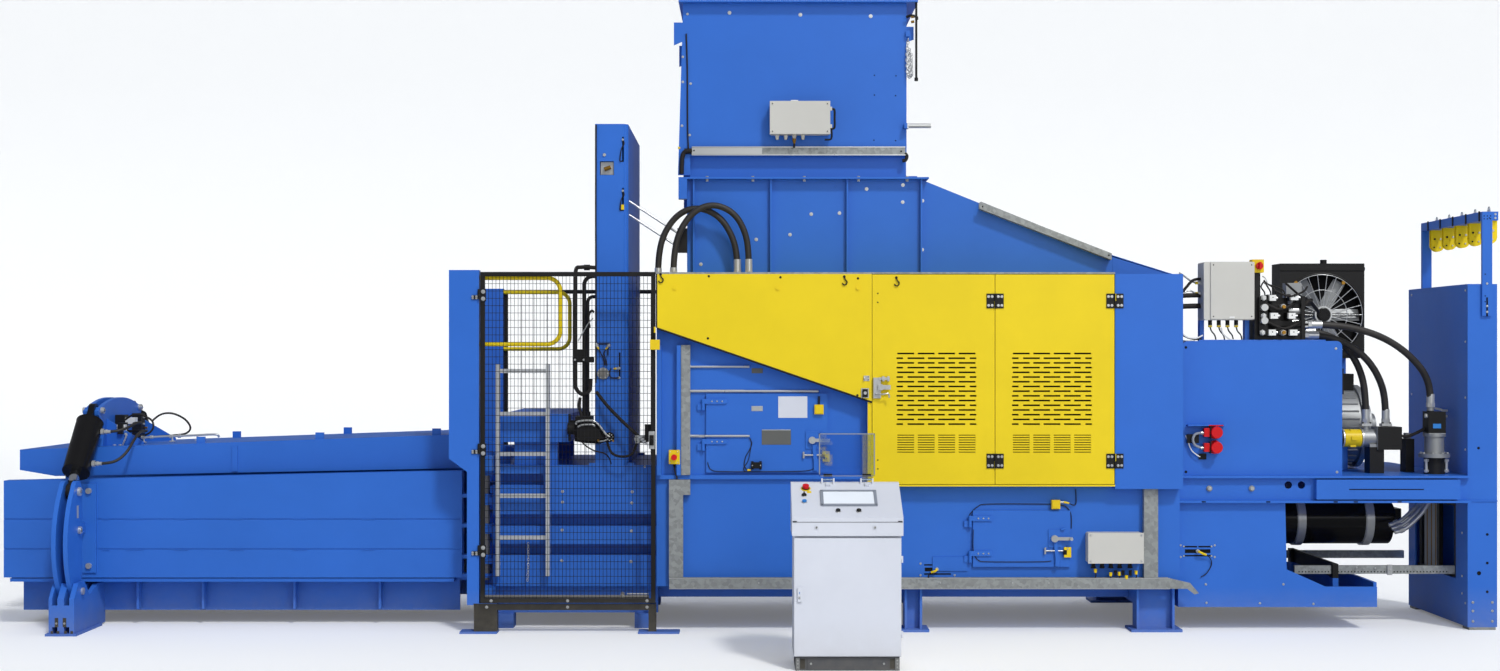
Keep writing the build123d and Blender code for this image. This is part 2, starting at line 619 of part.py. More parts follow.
# Louvred folding doors of the hood
door_bottom = 1016
door_top = hood_top - 4
slot_long = 115
slot_high = 11.5
slot_pitch = slot_long + 24


def louvres(door_mid):
    wide_spots = []
    short_spots = []
    fine_spots = []
    for row in range(16):
        row_z = 1904 - 32 * row
        shift = 0.5 * slot_pitch if row % 2 else 0
        for step in range(-2, 2 - row % 2):
            wide_spots.append((door_mid + step * slot_pitch + slot_pitch / 2 + shift, row_z))
        if row % 2:
            short_spots.append((door_mid - 2 * slot_pitch + slot_long / 4, row_z))
            short_spots.append((door_mid + 2 * slot_pitch - slot_long / 4, row_z))
    for row in range(8):
        for step in range(-2, 2):
            fine_spots.append((door_mid + (step + 0.5) * slot_pitch, 1349 - 16.5 * row))
    with BuildSketch(Plane.XZ.offset(-front_y + 5)) as cuts:
        with Locations(*wide_spots):
            Rectangle(slot_long, slot_high)
        with Locations(*short_spots):
            Rectangle(slot_long / 2 - 12, slot_high)
        with Locations(*fine_spots):
            Rectangle(slot_long, 6)
    extrude(cuts.sketch, amount=-40, mode=Mode.SUBTRACT)


with BuildPart() as hood_door_left:
    block(hood_split + 3, middle_pin_x - 2, front_y, front_y + 18, door_bottom, door_top)
    louvres((hood_split + middle_pin_x) / 2 + 20)
    for leaf_z in leaf_heights:
        block(middle_pin_x - 8 - leaf_wide, middle_pin_x - 8, front_y - leaf_thick, front_y,
              leaf_z - leaf_half, leaf_z + leaf_half)
        block(middle_pin_x - 10, middle_pin_x, hinge_line_y, front_y - 2, leaf_z,
              leaf_z + leaf_half)
        bar((middle_pin_x, hinge_line_y, leaf_z),
            (middle_pin_x, hinge_line_y, leaf_z + leaf_half), knuckle)
    block(hood_split + 8, hood_split + 60, front_y - 20, front_y, 1600, 1740)
    block(hood_split + 60, hood_split + 124, front_y - 42, front_y - 20, 1660, 1690)
    block(hood_split + 40, hood_split + 70, front_y - 42, front_y, 1655, 1695)
hood_door_left.part.label = "hood_door_left"
with BuildPart() as hood_door_right:
    block(middle_pin_x + 2, right_pin_x - 3, front_y, front_y + 18, door_bottom, door_top)
    louvres((middle_pin_x + right_pin_x) / 2 - 20)
    for leaf_z in leaf_heights:
        block(middle_pin_x + 8, middle_pin_x + 8 + leaf_wide, front_y - leaf_thick, front_y,
              leaf_z - leaf_half, leaf_z + leaf_half)
        block(middle_pin_x, middle_pin_x + 10, hinge_line_y, front_y - 2, leaf_z - leaf_half,
              leaf_z - seat_gap)
        bar((middle_pin_x, hinge_line_y, leaf_z - leaf_half),
            (middle_pin_x, hinge_line_y, leaf_z - seat_gap), knuckle)
        block(right_pin_x - 8 - leaf_wide, right_pin_x - 8, front_y - leaf_thick, front_y,
              leaf_z - leaf_half, leaf_z + leaf_half)
        block(right_pin_x - 10, right_pin_x, hinge_line_y, front_y - 2, leaf_z,
              leaf_z + leaf_half)
        bar((right_pin_x, hinge_line_y, leaf_z),
            (right_pin_x, hinge_line_y, leaf_z + leaf_half), knuckle)
hood_door_right.part.label = "hood_door_right"


# Access doors on strap hinges, with turning latches
def access_door(x0, x1, z0, z1, hinge_zs, latch_z):
    pin_x = x0 - 20
    pin_y = skin_y - 22
    with BuildPart() as door:
        block(x0, x1, skin_y - 22, skin_y - 2, z0, z1)
        for strap_z in hinge_zs:
            block(x0 - 20, x0 + 130, skin_y - 34, skin_y - 20, strap_z + seat_gap, strap_z + 34)
            bar((pin_x, pin_y, strap_z + seat_gap), (pin_x, pin_y, strap_z + 34), 12)
        block(x1 - 150, x1 - 60, skin_y - 30, skin_y - 20, latch_z - 60, latch_z + 60)
    return door.part


def strap_socket(x0, strap_z):
    block(x0 - 60, x0 - 20, skin_y - 16, skin_y, strap_z - 44, strap_z)
    bar((x0 - 20, skin_y - 22, strap_z - 44), (x0 - 20, skin_y - 22, strap_z), 12)
    block(x0 - 34, x0 - 8, skin_y - 22, skin_y, strap_z - 44, strap_z - 16)


def latch(x, z):
    with BuildPart() as handle:
        bar((x, skin_y - 30 - seat_gap, z), (x, skin_y - 56, z), 24)
        block(x - 14, x + 120, skin_y - 56, skin_y - 44, z - 11, z + 11)
        bar((x + 110, skin_y - 50, z), (x + 110, skin_y - 84, z), 11)
    return handle.part


stop_x = -516
stop_z = 1198
stop_stem = 9
chamber_hinges = (1285, 1560)
ram_hinges = (520, 760)
chamber_latch_x = 425
chamber_latch_z = 1312
ram_latch_x = 2080
ram_latch_z = 640
with BuildPart() as chamber_door:
    add(access_door(-300, 530, 1090, 1630, chamber_hinges, chamber_latch_z))
chamber_door.part.label = "chamber_door"
with BuildPart() as ram_door:
    add(access_door(1525, 2190, 445, 830, ram_hinges, ram_latch_z))
ram_door.part.label = "ram_door"
with BuildPart() as chamber_latch:
    add(latch(chamber_latch_x, chamber_latch_z))
chamber_latch.part.label = "chamber_latch"
with BuildPart() as ram_latch:
    add(latch(ram_latch_x, ram_latch_z))
ram_latch.part.label = "ram_latch"


def stop_box():
    block(-553, -500, skin_y - 66, skin_y, 1150, 1245)
    bar((stop_x, skin_y - 46, stop_z), (stop_x, skin_y - 70, stop_z), stop_stem + seat_gap,
        mode=Mode.SUBTRACT)


for strap_z in chamber_hinges:
    weld(front_plates, strap_socket, -300, strap_z)
for strap_z in ram_hinges:
    weld(front_plates, strap_socket, 1525, strap_z)
weld(front_plates, stop_box)
frame_front = Compound(label="frame_front", children=front_plates)

# Press ram, hollow and open at the back, with its rod and piston
ram_front = feed_right
ram_length = 1500
ram_side = -channel_y - running_gap
with BuildPart() as press_ram:
    block(ram_front, ram_front + ram_length, -ram_side, ram_side, channel_floor + seat_gap,
          channel_roof - running_gap)
    block(ram_front + 60, ram_front + ram_length + 5, -ram_side + 30, ram_side - 30,
          channel_floor + 33, channel_roof - 33, mode=Mode.SUBTRACT)
    for rib_y in (-300, 280):
        block(ram_front + 55, ram_front + 500, rib_y, rib_y + 20, channel_floor + 25,
              channel_roof - 25)
    bar((ram_front + 55, 0, cylinder_z), (ram_front + 90, 0, cylinder_z), 180)
press_ram.part.label = "press_ram"
main_bore = 150
piston_x0 = 4530
piston_x1 = 4590
with BuildPart() as main_rod:
    bar((ram_front + 90, 0, cylinder_z), (piston_x1, 0, cylinder_z), rod_radius)
    bar((piston_x0, 0, cylinder_z), (piston_x1, 0, cylinder_z), main_bore - seat_gap)
main_rod.part.label = "main_rod"

# Main cylinder hung from the deck by two straps
strap_xs = (3976, 4469)
hanger_z = 900
with BuildPart() as main_cylinder:
    bar((frame_right, 0, cylinder_z), (4640, 0, cylinder_z), 180)
    bar((frame_right, 0, cylinder_z), (frame_right + 60, 0, cylinder_z), 270)
    for strap_x in strap_xs:
        bar((strap_x - 28, 0, cylinder_z), (strap_x + 28, 0, cylinder_z), 192)
        block(strap_x - 28, strap_x + 28, -60, 60, 860, hanger_z)
    block(4660, 4720, -90, 90, 640, 780)
    bar((4630, 0, cylinder_z), (4670, 0, cylinder_z), 120)
    bar((3010, 0, cylinder_z), (4600, 0, cylinder_z), main_bore, mode=Mode.SUBTRACT)
    bar((frame_right - 5, 0, cylinder_z), (3020, 0, cylinder_z), rod_radius + seat_gap,
        mode=Mode.SUBTRACT)
main_cylinder.part.label = "main_cylinder"

# Needle mast on the roof of the tie section
mast_x0 = -1074
mast_x1 = -845
mast_half = 700
mast_top = 3495
with BuildPart() as mast:
    block(mast_x0, mast_x1, -mast_half, mast_half, roof_top, mast_top)
    chamfer(mast.edges().filter_by(Axis.Z).sort_by(Axis.Y)[:2].sort_by(Axis.X)[-1:], 31)
    block(mast_x0 + 12, mast_x1 - 12, -mast_half + 12, mast_half - 12, roof_top - 5, mast_top - 12,
          mode=Mode.SUBTRACT)
    block(mast_x1 - 40, mast_x1 - 10, -mast_half + 8, -mast_half + 60, roof_top, mast_top - 10)
    block(-1040, -943, -mast_half - 5, -mast_half + 20, 3141, 3236, mode=Mode.SUBTRACT)
    for slot_z0, slot_z1 in ((2892, 3051), (3232, 3405)):
        block(-886, -874, -mast_half - 5, -mast_half + 70, slot_z0, slot_z1, mode=Mode.SUBTRACT)
    for side in (-1, 1):
        y0, y1 = sorted((side * mast_half, side * (mast_half - 100)))
        block(mast_x1 - 5, mast_x1 + 40, y0, y1, roof_top, roof_top + 16)
        block(mast_x0 - 40, mast_x0 + 5, y0, y1, roof_top, roof_top + 16)
    block(mast_x0 + 5, mast_x1 - 5, 60, 160, 2080, 2110)
    bar((needle_x, 110, roof_top), (needle_x, 110, 2160), 42)
    bar((needle_x, 110, roof_top + 12), (needle_x, 110, 2130), 31, mode=Mode.SUBTRACT)
    bar((needle_x, 110, 2120), (needle_x, 110, 2165), 20, mode=Mode.SUBTRACT)
    for rod_z in (2975, 2880):
        bar((mast_x1 - 8, -560, rod_z), (-502, -560, rod_z - 230), 8)
    block(-508, -440, -580, -shaft_half - 25, 2610, 2780)
    block(-480, -440, -580, -shaft_half - 20, 2610, 2780)
mast.part.label = "needle_mast"

# Needle comb with its lift rod
needle_top = 3150
needle_tip = 1190
with BuildPart() as needles:
    block(needle_x - 50, needle_x + 50, -560, 560, needle_top, needle_top + 130)
    for needle_y in needle_ys:
        bar((needle_x, needle_y, needle_tip + 30), (needle_x, needle_y, needle_top + 5), 16)
        with Locations((needle_x, needle_y, needle_tip + 15)):
            Cone(4, 16, 30)
    bar((needle_x, 110, 2095), (needle_x, 110, needle_top + 5), 19.6)
    bar((needle_x, 110, 2095), (needle_x, 110, 2118), 30.4)
needles.part.label = "needle_frame"

# Hinged guard door with a wire mesh
guard_x0 = -1834
guard_x1 = -643
guard_z0 = 208
guard_z1 = 2459
guard_back = front_y + 30
tube_wide = 30
guard_hinges = (560, 1250, 2300)
guard_pin_x = -1840
guard_pin_y = front_y - 12
guard_solids = []


def guard_leaf(hinge_z):
    block(guard_pin_x, guard_x0 + 30, front_y - 10, front_y, hinge_z + seat_gap, hinge_z + 30)
    bar((guard_pin_x, guard_pin_y, hinge_z + seat_gap),
        (guard_pin_x, guard_pin_y, hinge_z + 30), 10)


def guard_lock():
    block(guard_x1 - 45, guard_x1 - 5, front_y - 14, front_y, 1260, 1370)
    bar((guard_x1 - 25, front_y - 14, 1316), (guard_x1 - 25, front_y - 50, 1316), 12)


for x0, x1 in ((guard_x0, guard_x0 + tube_wide), (guard_x1 - tube_wide, guard_x1)):
    weld(guard_solids, block, x0, x1, front_y, guard_back, guard_z0, guard_z1)
for z0, z1 in ((guard_z0, guard_z0 + tube_wide), (guard_z1 - tube_wide, guard_z1)):
    weld(guard_solids, block, guard_x0 + tube_wide, guard_x1 - tube_wide, front_y, guard_back,
         z0, z1)
for hinge_z in guard_hinges:
    weld(guard_solids, guard_leaf, hinge_z)
weld(guard_solids, guard_lock)
wire_left = guard_x0 + tube_wide
wire_right = guard_x1 - tube_wide
for count in range(1, 16):
    wire_x = wire_left + (wire_right - wire_left) * count / 16
    with BuildPart() as wire:
        block(wire_x - 2, wire_x + 2, front_y + 12, front_y + 16, guard_z0 + tube_wide,
              guard_z1 - tube_wide)
    guard_solids.append(wire.part)
for count in range(1, 15):
    wire_z = guard_z0 + tube_wide + (guard_z1 - guard_z0 - 2 * tube_wide) * count / 15
    with BuildPart() as wire:
        block(wire_left, wire_right, front_y + 16, front_y + 20, wire_z - 2, wire_z + 2)
    guard_solids.append(wire.part)
guard_door = Compound(label="guard_door", children=guard_solids)


def guard_knuckle(hinge_z):
    block(guard_pin_x - 50, guard_pin_x, front_y - 10, front_y, hinge_z - 28, hinge_z)
    bar((guard_pin_x, guard_pin_y, hinge_z - 28), (guard_pin_x, guard_pin_y, hinge_z), 10)


for hinge_z in guard_hinges:
    weld(tie_plates, guard_knuckle, hinge_z)
tie_frame = Compound(label="tie_frame", children=tie_plates)

# Fixed guards: yellow rails and the rear frame
rail_radius = 15
rail_top = 2420
rail_low = 1968
with BuildPart() as fixed_guards:
    tube([(-1843, -890, rail_top), (-1295, -890, rail_top), (-1295, -890, rail_low),
          (-1843, -890, rail_low)], 90, rail_radius)
    tube([(-1914, 910, 2380), (-1400, 910, 2380), (-1400, 910, 1940), (-1914, 910, 1940)], 90,
         rail_radius)
    block(-1914, frame_left, 930, 950, 208, 2400)
    block(-1884, frame_left - 30, 925, 955, 238, 2370, mode=Mode.SUBTRACT)
    for count in range(1, 12):
        wire_x = -1884 + (1884 + frame_left - 30) * count / 12
        block(wire_x - 2, wire_x + 2, 936, 940, 230, 2375)
    block(-700, frame_left, 850, 935, 2300, 2400)
    block(-700, frame_left, 850, 935, 208, 300)
fixed_guards.part.label = "fixed_guards"

# Aluminium ladder on the tie section
rung_heights = (636, 924, 1213, 1488, 1784)
rail_wide = 25
ladder_rails = (-1750, -1405)
ladder_plates = []
for rail_x in ladder_rails:
    weld(ladder_plates, block, rail_x, rail_x + rail_wide, -800, -740, 374, 1832)
    for stay_z in (440, 1075):
        weld(ladder_plates, block, rail_x + 4, rail_x + 21, -740, band_y, stay_z, stay_z + 24)
for rung_z in rung_heights:
    weld(ladder_plates, block, ladder_rails[0] + rail_wide, ladder_rails[1], -788, -752,
         rung_z - 14, rung_z + 14)
ladder = Compound(label="ladder", children=ladder_plates)

# Wire tying unit on the tie section roof
wheel_y = -884
unit_plates = []
weld(unit_plates, block, -1730, -1250, -690, 690, 1290, 1484)
for foot_y in (-640, 560):
    weld(unit_plates, block, -1640, -1340, foot_y, foot_y + 80, roof_top, 1290)
weld(unit_plates, block, -1203, -1090, -790, -600, 1300, 1470)
weld(unit_plates, block, -1255, -1195, -700, -620, 1360, 1440)
weld(unit_plates, bar, (-1195, -740, 1385), (-1260, -740, 1385), 40)
for pipe_x, pipe_y, pipe_top, pipe_bend, pipe_radius in ((-1150, -680, 2440, 60, 14),
                                                         (-1130, -630, 2300, 40, 12)):
    weld(unit_plates, bar, (pipe_x, pipe_y, 1470), (pipe_x, pipe_y, 1500), pipe_radius + 8)
    weld(unit_plates, tube, [(pipe_x, pipe_y, 1500), (pipe_x, pipe_y, pipe_top),
                             (mast_x0, pipe_y, pipe_top)], pipe_bend, pipe_radius)


def latch_shaft():
    bar((-1843, wheel_y, 243), (-690, wheel_y, 243), 12)
    bar((-882, wheel_y, 243), (-858, wheel_y, 243), 30)


weld(unit_plates, latch_shaft)
tying_unit = Compound(label="tying_unit", children=unit_plates)

# Deck, side plates and drip tray behind the frame
deck_half = 850
with BuildPart() as power_deck:
    for side in (-1, 1):
        y0, y1 = sorted((side * 780, side * 800))
        side_plate([(frame_right, 161), (4312, 161), (4312, 300), (3960, 300), (3690, 420),
                    (3680, 885), (frame_right, 885)], y0, y1)
        y0, y1 = sorted((side * 790, side * deck_half))
        block(frame_right, deck_right, y0, y1, 880, 895)
        block(frame_right, deck_right, y0, y1, deck_top - 15, deck_top)
        y0, y1 = sorted((side * 790, side * 806))
        block(frame_right, deck_right, y0, y1, 880, deck_top)
        y0, y1 = sorted((side * 806, side * 858))
        block(3879, 4863, y0, y1, 905, 1040)
        y0, y1 = sorted((side * 540, side * 500))
        block(3819, deck_right, y0, y1, 359, 416)
    block(frame_right, deck_right, -800, 800, deck_top - 12, deck_top)
    block(frame_right, 4312, -790, 790, 161, 175)
    block(4290, 4312, -790, 790, 161, 330)
    block(4100, 4120, -500, 500, 161, 430)
    block(4080, 4120, -560, -480, 161, 430)
    block(4080, 4120, 480, 560, 161, 430)
    for strap_x in strap_xs:
        block(strap_x - 30, strap_x + 30, -800, 800, hanger_z, deck_top - 5)
    block(frame_right, frame_right + 20, -800, -560, 161, 885)
    block(frame_right, frame_right + 20, 560, 800, 161, 885)
    for hole_x in (3700, 3790):
        bar((hole_x, -810, 1000), (hole_x, -780, 1000), 26, mode=Mode.SUBTRACT)
power_deck.part.label = "power_deck"

# Oil tank with sockets
tank_x0 = 2971
tank_x1 = 4072
tank_back = -260
tank_top = 1990
with BuildPart() as tank:
    block(tank_x0, tank_x1, -800, tank_back, deck_top, tank_top)
    fillet(tank.edges().filter_by(Axis.Y).group_by(Axis.Z)[-1], 40)
    block(tank_x0 + 12, tank_x1 - 12, -788, tank_back - 12, deck_top + 12, tank_top - 12,
          mode=Mode.SUBTRACT)
    bar((3900, -400, tank_top - 30), (3900, -400, tank_top + 5), 60)
    bar((3900, -400, tank_top - 60), (3900, -400, tank_top + 10), 40, mode=Mode.SUBTRACT)
    block(3000, 3260, -860, -795, 1408, 1416)
    for socket_z in (1261, 1364):
        bar((3190, -800, socket_z), (3190, -880, socket_z), 38)
        bar((3190, -800, socket_z), (3190, -830, socket_z), 46)
    block(3000, 3080, -830, -800, 1290, 1350)
    block(tank_x1, tank_x1 + 60, -640, -420, 1620, 1800)
tank.part.label = "oil_tank"

# Valve block and isolator housing on the tank
isolator_x = 3510
isolator_z = 2508
with BuildPart() as valves:
    block(3480, 3830, -760, -480, tank_top, tank_top + 90)
    block(3500, 3720, -720, -520, tank_top + 85, 2290)
    for valve_z in (2120, 2200):
        for valve_y in (-740, -560):
            bar((3720, valve_y + 20, valve_z), (3830, valve_y + 20, valve_z), 26)
    block(3500, 3560, -800, -720, tank_top + 40, 2290)
    for row_z in (2130, 2220):
        bar((3530, -800, row_z), (3530, -840, row_z), 24)
        bar((3600, -720, row_z), (3600, -800, row_z), 30)
    block(isolator_x - 45, isolator_x + 35, -760, -680, isolator_z - 45, isolator_z + 45)
    block(isolator_x - 25, isolator_x + 15, -740, -700, 2280, isolator_z - 40)
    bar((3830, -700, 2105), (3860, -700, 2105), 34)
    bar((3830, -540, 2060), (3860, -540, 2060), 34)
    bar((3830, -620, 2030), (3860, -620, 2030), 34)
valves.part.label = "valve_block"

# Grey terminal boxes
with BuildPart() as boxes:
    block(141, 556, -shaft_half - 130, -shaft_half - hopper_wall, hopper_bottom + 298,
          hopper_bottom + 523)
    block(2298, 2672, skin_y - 110, skin_y, 480, 684)
    block(3116, 3459, -820, -640, 2135, 2534)
    fillet(boxes.edges().filter_by(Axis.Y), 12)
    for gland_x in (3180, 3240, 3300, 3360):
        bar((gland_x, -730, 2100), (gland_x, -730, 2140), 14)
    for gland_x in (2340, 2400, 2460, 2520, 2590):
        bar((gland_x, skin_y - 60, 440), (gland_x, skin_y - 60, 484), 14)
    for gland_x in (190, 250, 310, 370):
        bar((gland_x, -shaft_half - 70, hopper_bottom + 263),
            (gland_x, -shaft_half - 70, hopper_bottom + 301), 13)
    for frame_x in (3116, 3429):
        block(frame_x, frame_x + 30, -700, -640, tank_top, 2140)
boxes.part.label = "terminal_boxes"

# Galvanised cable ducts
tray_right = 2862
duct_plates = []
weld(duct_plates, block, -551, tray_right, skin_y - 64, skin_y, 300, 309)
weld(duct_plates, block, -551, tray_right, skin_y - 64, skin_y - 56, 309, 372)
weld(duct_plates, block, -551, tray_right, skin_y - 8, skin_y, 309, 372)
weld(duct_plates, side_plate, [(tray_right, 300), (tray_right, 372), (3000, 340), (3060, 270),
                               (3030, 262), (2980, 300)], skin_y - 64, skin_y - 56)
weld(duct_plates, block, 2689, 2785, skin_y - 50, skin_y, 372, 980)
weld(duct_plates, block, -553, -457, skin_y - 50, skin_y, 372, 1043)
weld(duct_plates, block, -457, -408, skin_y - 50, skin_y, 939, 1043)
weld(duct_plates, block, -470, -408, skin_y - 50, skin_y, 1075, 1962)
with BuildPart() as slope_tray:
    slope_run = (shaft_top - slope_low) / (shaft_right - slope_x)
    tray_z = [slope_low + (shaft_right - tray_x) * slope_run + seat_gap
              for tray_x in (1618, 2540)]
    side_plate([(1618, tray_z[0]), (2540, tray_z[1]), (2546, tray_z[1] + 15),
                (1624, tray_z[0] + 15)], -500, -420)
with BuildPart() as hopper_tray:
    block(-408, 1090, -shaft_half - 40, -shaft_half - hopper_wall, hopper_bottom + 159,
          hopper_bottom + 215)
cable_ducts = Compound(label="cable_ducts", children=[*duct_plates, slope_tray.part,
                                                      hopper_tray.part])

# Oil cooler with its fan
fan_x = 4166
fan_z = 2186
with BuildPart() as cooler:
    block(3860, 4475, -20, 200, 1870, 2560)
    bar((fan_x, -25, fan_z), (fan_x, 90, fan_z), 296, mode=Mode.SUBTRACT)
    bar((fan_x, 60, fan_z), (fan_x, 95, fan_z), 60)
    bar((fan_x, -12, fan_z), (fan_x, 62, fan_z), 14)
    for spoke in range(2):
        block(3860, 4475, -18, -6, fan_z - 12 + spoke * 14, fan_z - 4 + spoke * 14)
    bar((fan_x, -60, fan_z), (fan_x, -6, fan_z), 63)
    bar((4200, 60, 2555), (4200, 60, 2590), 24)
    for post_x in (3870, 4425):
        block(post_x, post_x + 40, 380, 420, deck_top, 1910)
        block(post_x, post_x + 40, 195, 420, 1870, 1910)
cooler.part.label = "oil_cooler"
with BuildPart() as fan:
    bar((fan_x, 8, fan_z), (fan_x, 50, fan_z), 70)
    for blade in range(6):
        turn = math.radians(60 * blade)
        reach = Vector(math.cos(turn), 0, math.sin(turn))
        across = Vector(-math.sin(turn), 0, math.cos(turn))
        with BuildSketch(Plane(origin=Vector(fan_x, 29, fan_z) + reach * 60,
                               x_dir=across + Vector(0, 0.35, 0), z_dir=reach)) as section:
            Rectangle(90, 5)
        extrude(section.sketch, amount=222)
    bar((fan_x, 0, fan_z), (fan_x, 60, fan_z), 14.4, mode=Mode.SUBTRACT)
fan.part.label = "cooler_fan"

# Motors and pumps on the deck
motor_y = 60
motor_z = 1375
pump_y = -500
pump_z = 1310
with BuildPart() as pumps:
    bar((3700, motor_y, motor_z), (4400, motor_y, motor_z), 280)
    bar((4400, motor_y, motor_z), (4440, motor_y, motor_z), 300)
    bar((4440, motor_y, motor_z), (4500, motor_y, motor_z), 190)
    bar((4500, motor_y, motor_z), (4560, motor_y, motor_z), 90)
    for foot_y in (motor_y - 250, motor_y + 170):
        block(3800, 4300, foot_y, foot_y + 80, deck_top, 1260)
    block(tank_x1, tank_x1 + 26, pump_y - 90, pump_y + 90, pump_z - 90, pump_z + 90)
    bar((tank_x1 + 20, pump_y, pump_z), (4162, pump_y, pump_z), 60)
    bar((4150, pump_y, pump_z), (4310, pump_y, pump_z), 12)
    bar((4300, pump_y, pump_z), (4400, pump_y, pump_z), 62)
    block(4390, 4560, pump_y - 75, pump_y + 75, pump_z - 80, pump_z + 80)
    block(4340, 4440, pump_y - 60, pump_y + 60, deck_top, pump_z - 40)
    bar((4330, pump_y, pump_z + 40), (4330, pump_y, pump_z + 110), 24)
    bar((4470, pump_y, pump_z + 60), (4470, pump_y, pump_z + 110), 24)
    bar((4776, -600, deck_top), (4776, -600, 1190), 70)
    bar((4776, -600, 1180), (4776, -600, 1206), 105)
    bar((4776, -600, 1200), (4776, -600, 1350), 66)
    block(4716, 4836, -660, -540, 1345, 1500)
    bar((4750, -600, 1495), (4750, -600, 1530), 24)
    block(4640, 4700, -420, -300, deck_top, 1300)
    bar((4670, -360, 1295), (4670, -360, 1340), 26)
pumps.part.label = "pump_motor"
with BuildPart() as coupling:
    bar((4172, pump_y, pump_z), (4288, pump_y, pump_z), 62)
    for spoke in range(6):
        turn = math.radians(60 * spoke)
        with Locations((4230, pump_y + 58 * math.cos(turn), pump_z + 58 * math.sin(turn))):
            Box(40, 22, 22)
    bar((4160, pump_y, pump_z), (4300, pump_y, pump_z), 12.4, mode=Mode.SUBTRACT)
coupling.part.label = "pump_coupling"

# Wire cabinet with the pulley beam
cabinet_back = 400
pulley_ys = (250, 0, -250, -500, -750)
pulley_x = 5100
pulley_z = 2738
with BuildPart() as cabinet:
    block(cabinet_x0, cabinet_x1, -780, cabinet_back, 20, 2383)
    block(cabinet_x0 + 10, cabinet_x1 - 10, -770, cabinet_back - 10, 10, 2373, mode=Mode.SUBTRACT)
    block(cabinet_x0 - 5, cabinet_x0 + 15, -560, 260, 330, 860, mode=Mode.SUBTRACT)
    block(cabinet_x0, cabinet_x1, -788, -780, 885, 893)
    for foot_y in (-780, 280):
        block(cabinet_x0 + 10, cabinet_x1 - 10, foot_y, foot_y + 120, 0, 22)
    block(5035, 5104, -800, -778, 2163, 2880)
    block(5035, 5104, cabinet_back - 30, cabinet_back, 2380, 2880)
    block(5035, 5145, -800, cabinet_back, 2820, 2880)
    for pulley_y in pulley_ys:
        for side in (-1, 1):
            y0, y1 = sorted((pulley_y + side * 17, pulley_y + side * 21))
            with BuildSketch(Plane.XZ.offset(-y0)) as guard:
                with Locations((pulley_x, pulley_z + 25)):
                    Rectangle(98, 120)
                with Locations((pulley_x, pulley_z - 30)):
                    Circle(49)
            extrude(guard.sketch, amount=-(y1 - y0))
        bar((pulley_x, pulley_y - 26, pulley_z - 8), (pulley_x, pulley_y + 26, pulley_z - 8), 8)
cabinet.part.label = "wire_cabinet"
pulley_solids = []
for pulley_y in pulley_ys:
    with BuildPart() as pulley:
        bar((pulley_x, pulley_y - 15, pulley_z - 8), (pulley_x, pulley_y + 15, pulley_z - 8), 42)
        bar((pulley_x, pulley_y - 4, pulley_z - 8), (pulley_x, pulley_y + 4, pulley_z - 8), 60,
            mode=Mode.SUBTRACT)
        bar((pulley_x, pulley_y - 15, pulley_z - 8), (pulley_x, pulley_y + 15, pulley_z - 8), 34)
        bar((pulley_x, pulley_y - 16, pulley_z - 8), (pulley_x, pulley_y + 16, pulley_z - 8), 8.4,
            mode=Mode.SUBTRACT)
    pulley_solids.append(pulley.part)
wire_pulleys = Compound(label="wire_pulleys", children=pulley_solids)

# Operator console in front of the machine
console_front = -2500
console_x0 = 262
console_x1 = 908
console_back = -2080
door_skin = console_front + 22
desk_left = (console_x0 - 10, console_x1 + 10)
door_pin_x = console_x1 + 4
door_pin_y = console_front + 10
door_knuckles = (220, 670)
with BuildPart() as console:
    block(console_x0, console_x1, door_skin, console_back, 85, 815)
    block(console_x0 + 30, console_x1 - 30, door_skin - 5, console_back - 25, 120, 780,
          mode=Mode.SUBTRACT)
    block(console_x0 + 10, console_x1 - 10, console_front + 30, console_back - 10, 0, 85)
    end_plate([(console_front - 8, 812), (console_front - 8, 922), (-2150, 1108),
               (console_back, 1108), (console_back, 812)], desk_left[0], desk_left[1])
desk_slope = Vector(0, -2150 - (console_front - 8), 1108 - 922)
desk_plane = Plane(origin=(0, console_front - 8, 922), x_dir=(1, 0, 0),
                   z_dir=Vector(0, -desk_slope.Z, desk_slope.Y))
button_places = {"console_stop": (342, 330, 20), "console_switch": (330, 250, 14),
                 "console_button_blue": (330, 175, 14), "console_button_left": (530, 70, 13),
                 "console_button_right": (655, 70, 13)}
cover_feet = (480, 720)
with BuildPart() as console_body:
    add(console.part)
    with BuildSketch(desk_plane) as screen:
        with Locations((600, 215)):
            Rectangle(330, 170)
    extrude(screen.sketch, amount=5)
    for place_x, place_v, reach in button_places.values():
        with BuildSketch(desk_plane.offset(-18)) as well:
            with Locations((place_x, place_v)):
                Circle(reach - 3)
        extrude(well.sketch, amount=30, mode=Mode.SUBTRACT)
    with BuildSketch(desk_plane) as hinge_foot:
        for foot_x in cover_feet:
            with Locations((foot_x, 368)):
                Rectangle(26, 30)
    extrude(hinge_foot.sketch, amount=14)
console_body.part.label = "console_body"


def control(place, head_radius, head_height, lift):
    place_x, place_v, reach = place
    with BuildPart() as piece:
        with BuildSketch(desk_plane.offset(-12)) as stem:
            with Locations((place_x, place_v)):
                Circle(reach - 3 - seat_gap)
        extrude(stem.sketch, amount=12 + lift + 2)
        with BuildSketch(desk_plane.offset(lift)) as head:
            with Locations((place_x, place_v)):
                Circle(head_radius)
        extrude(head.sketch, amount=head_height)
    return piece.part


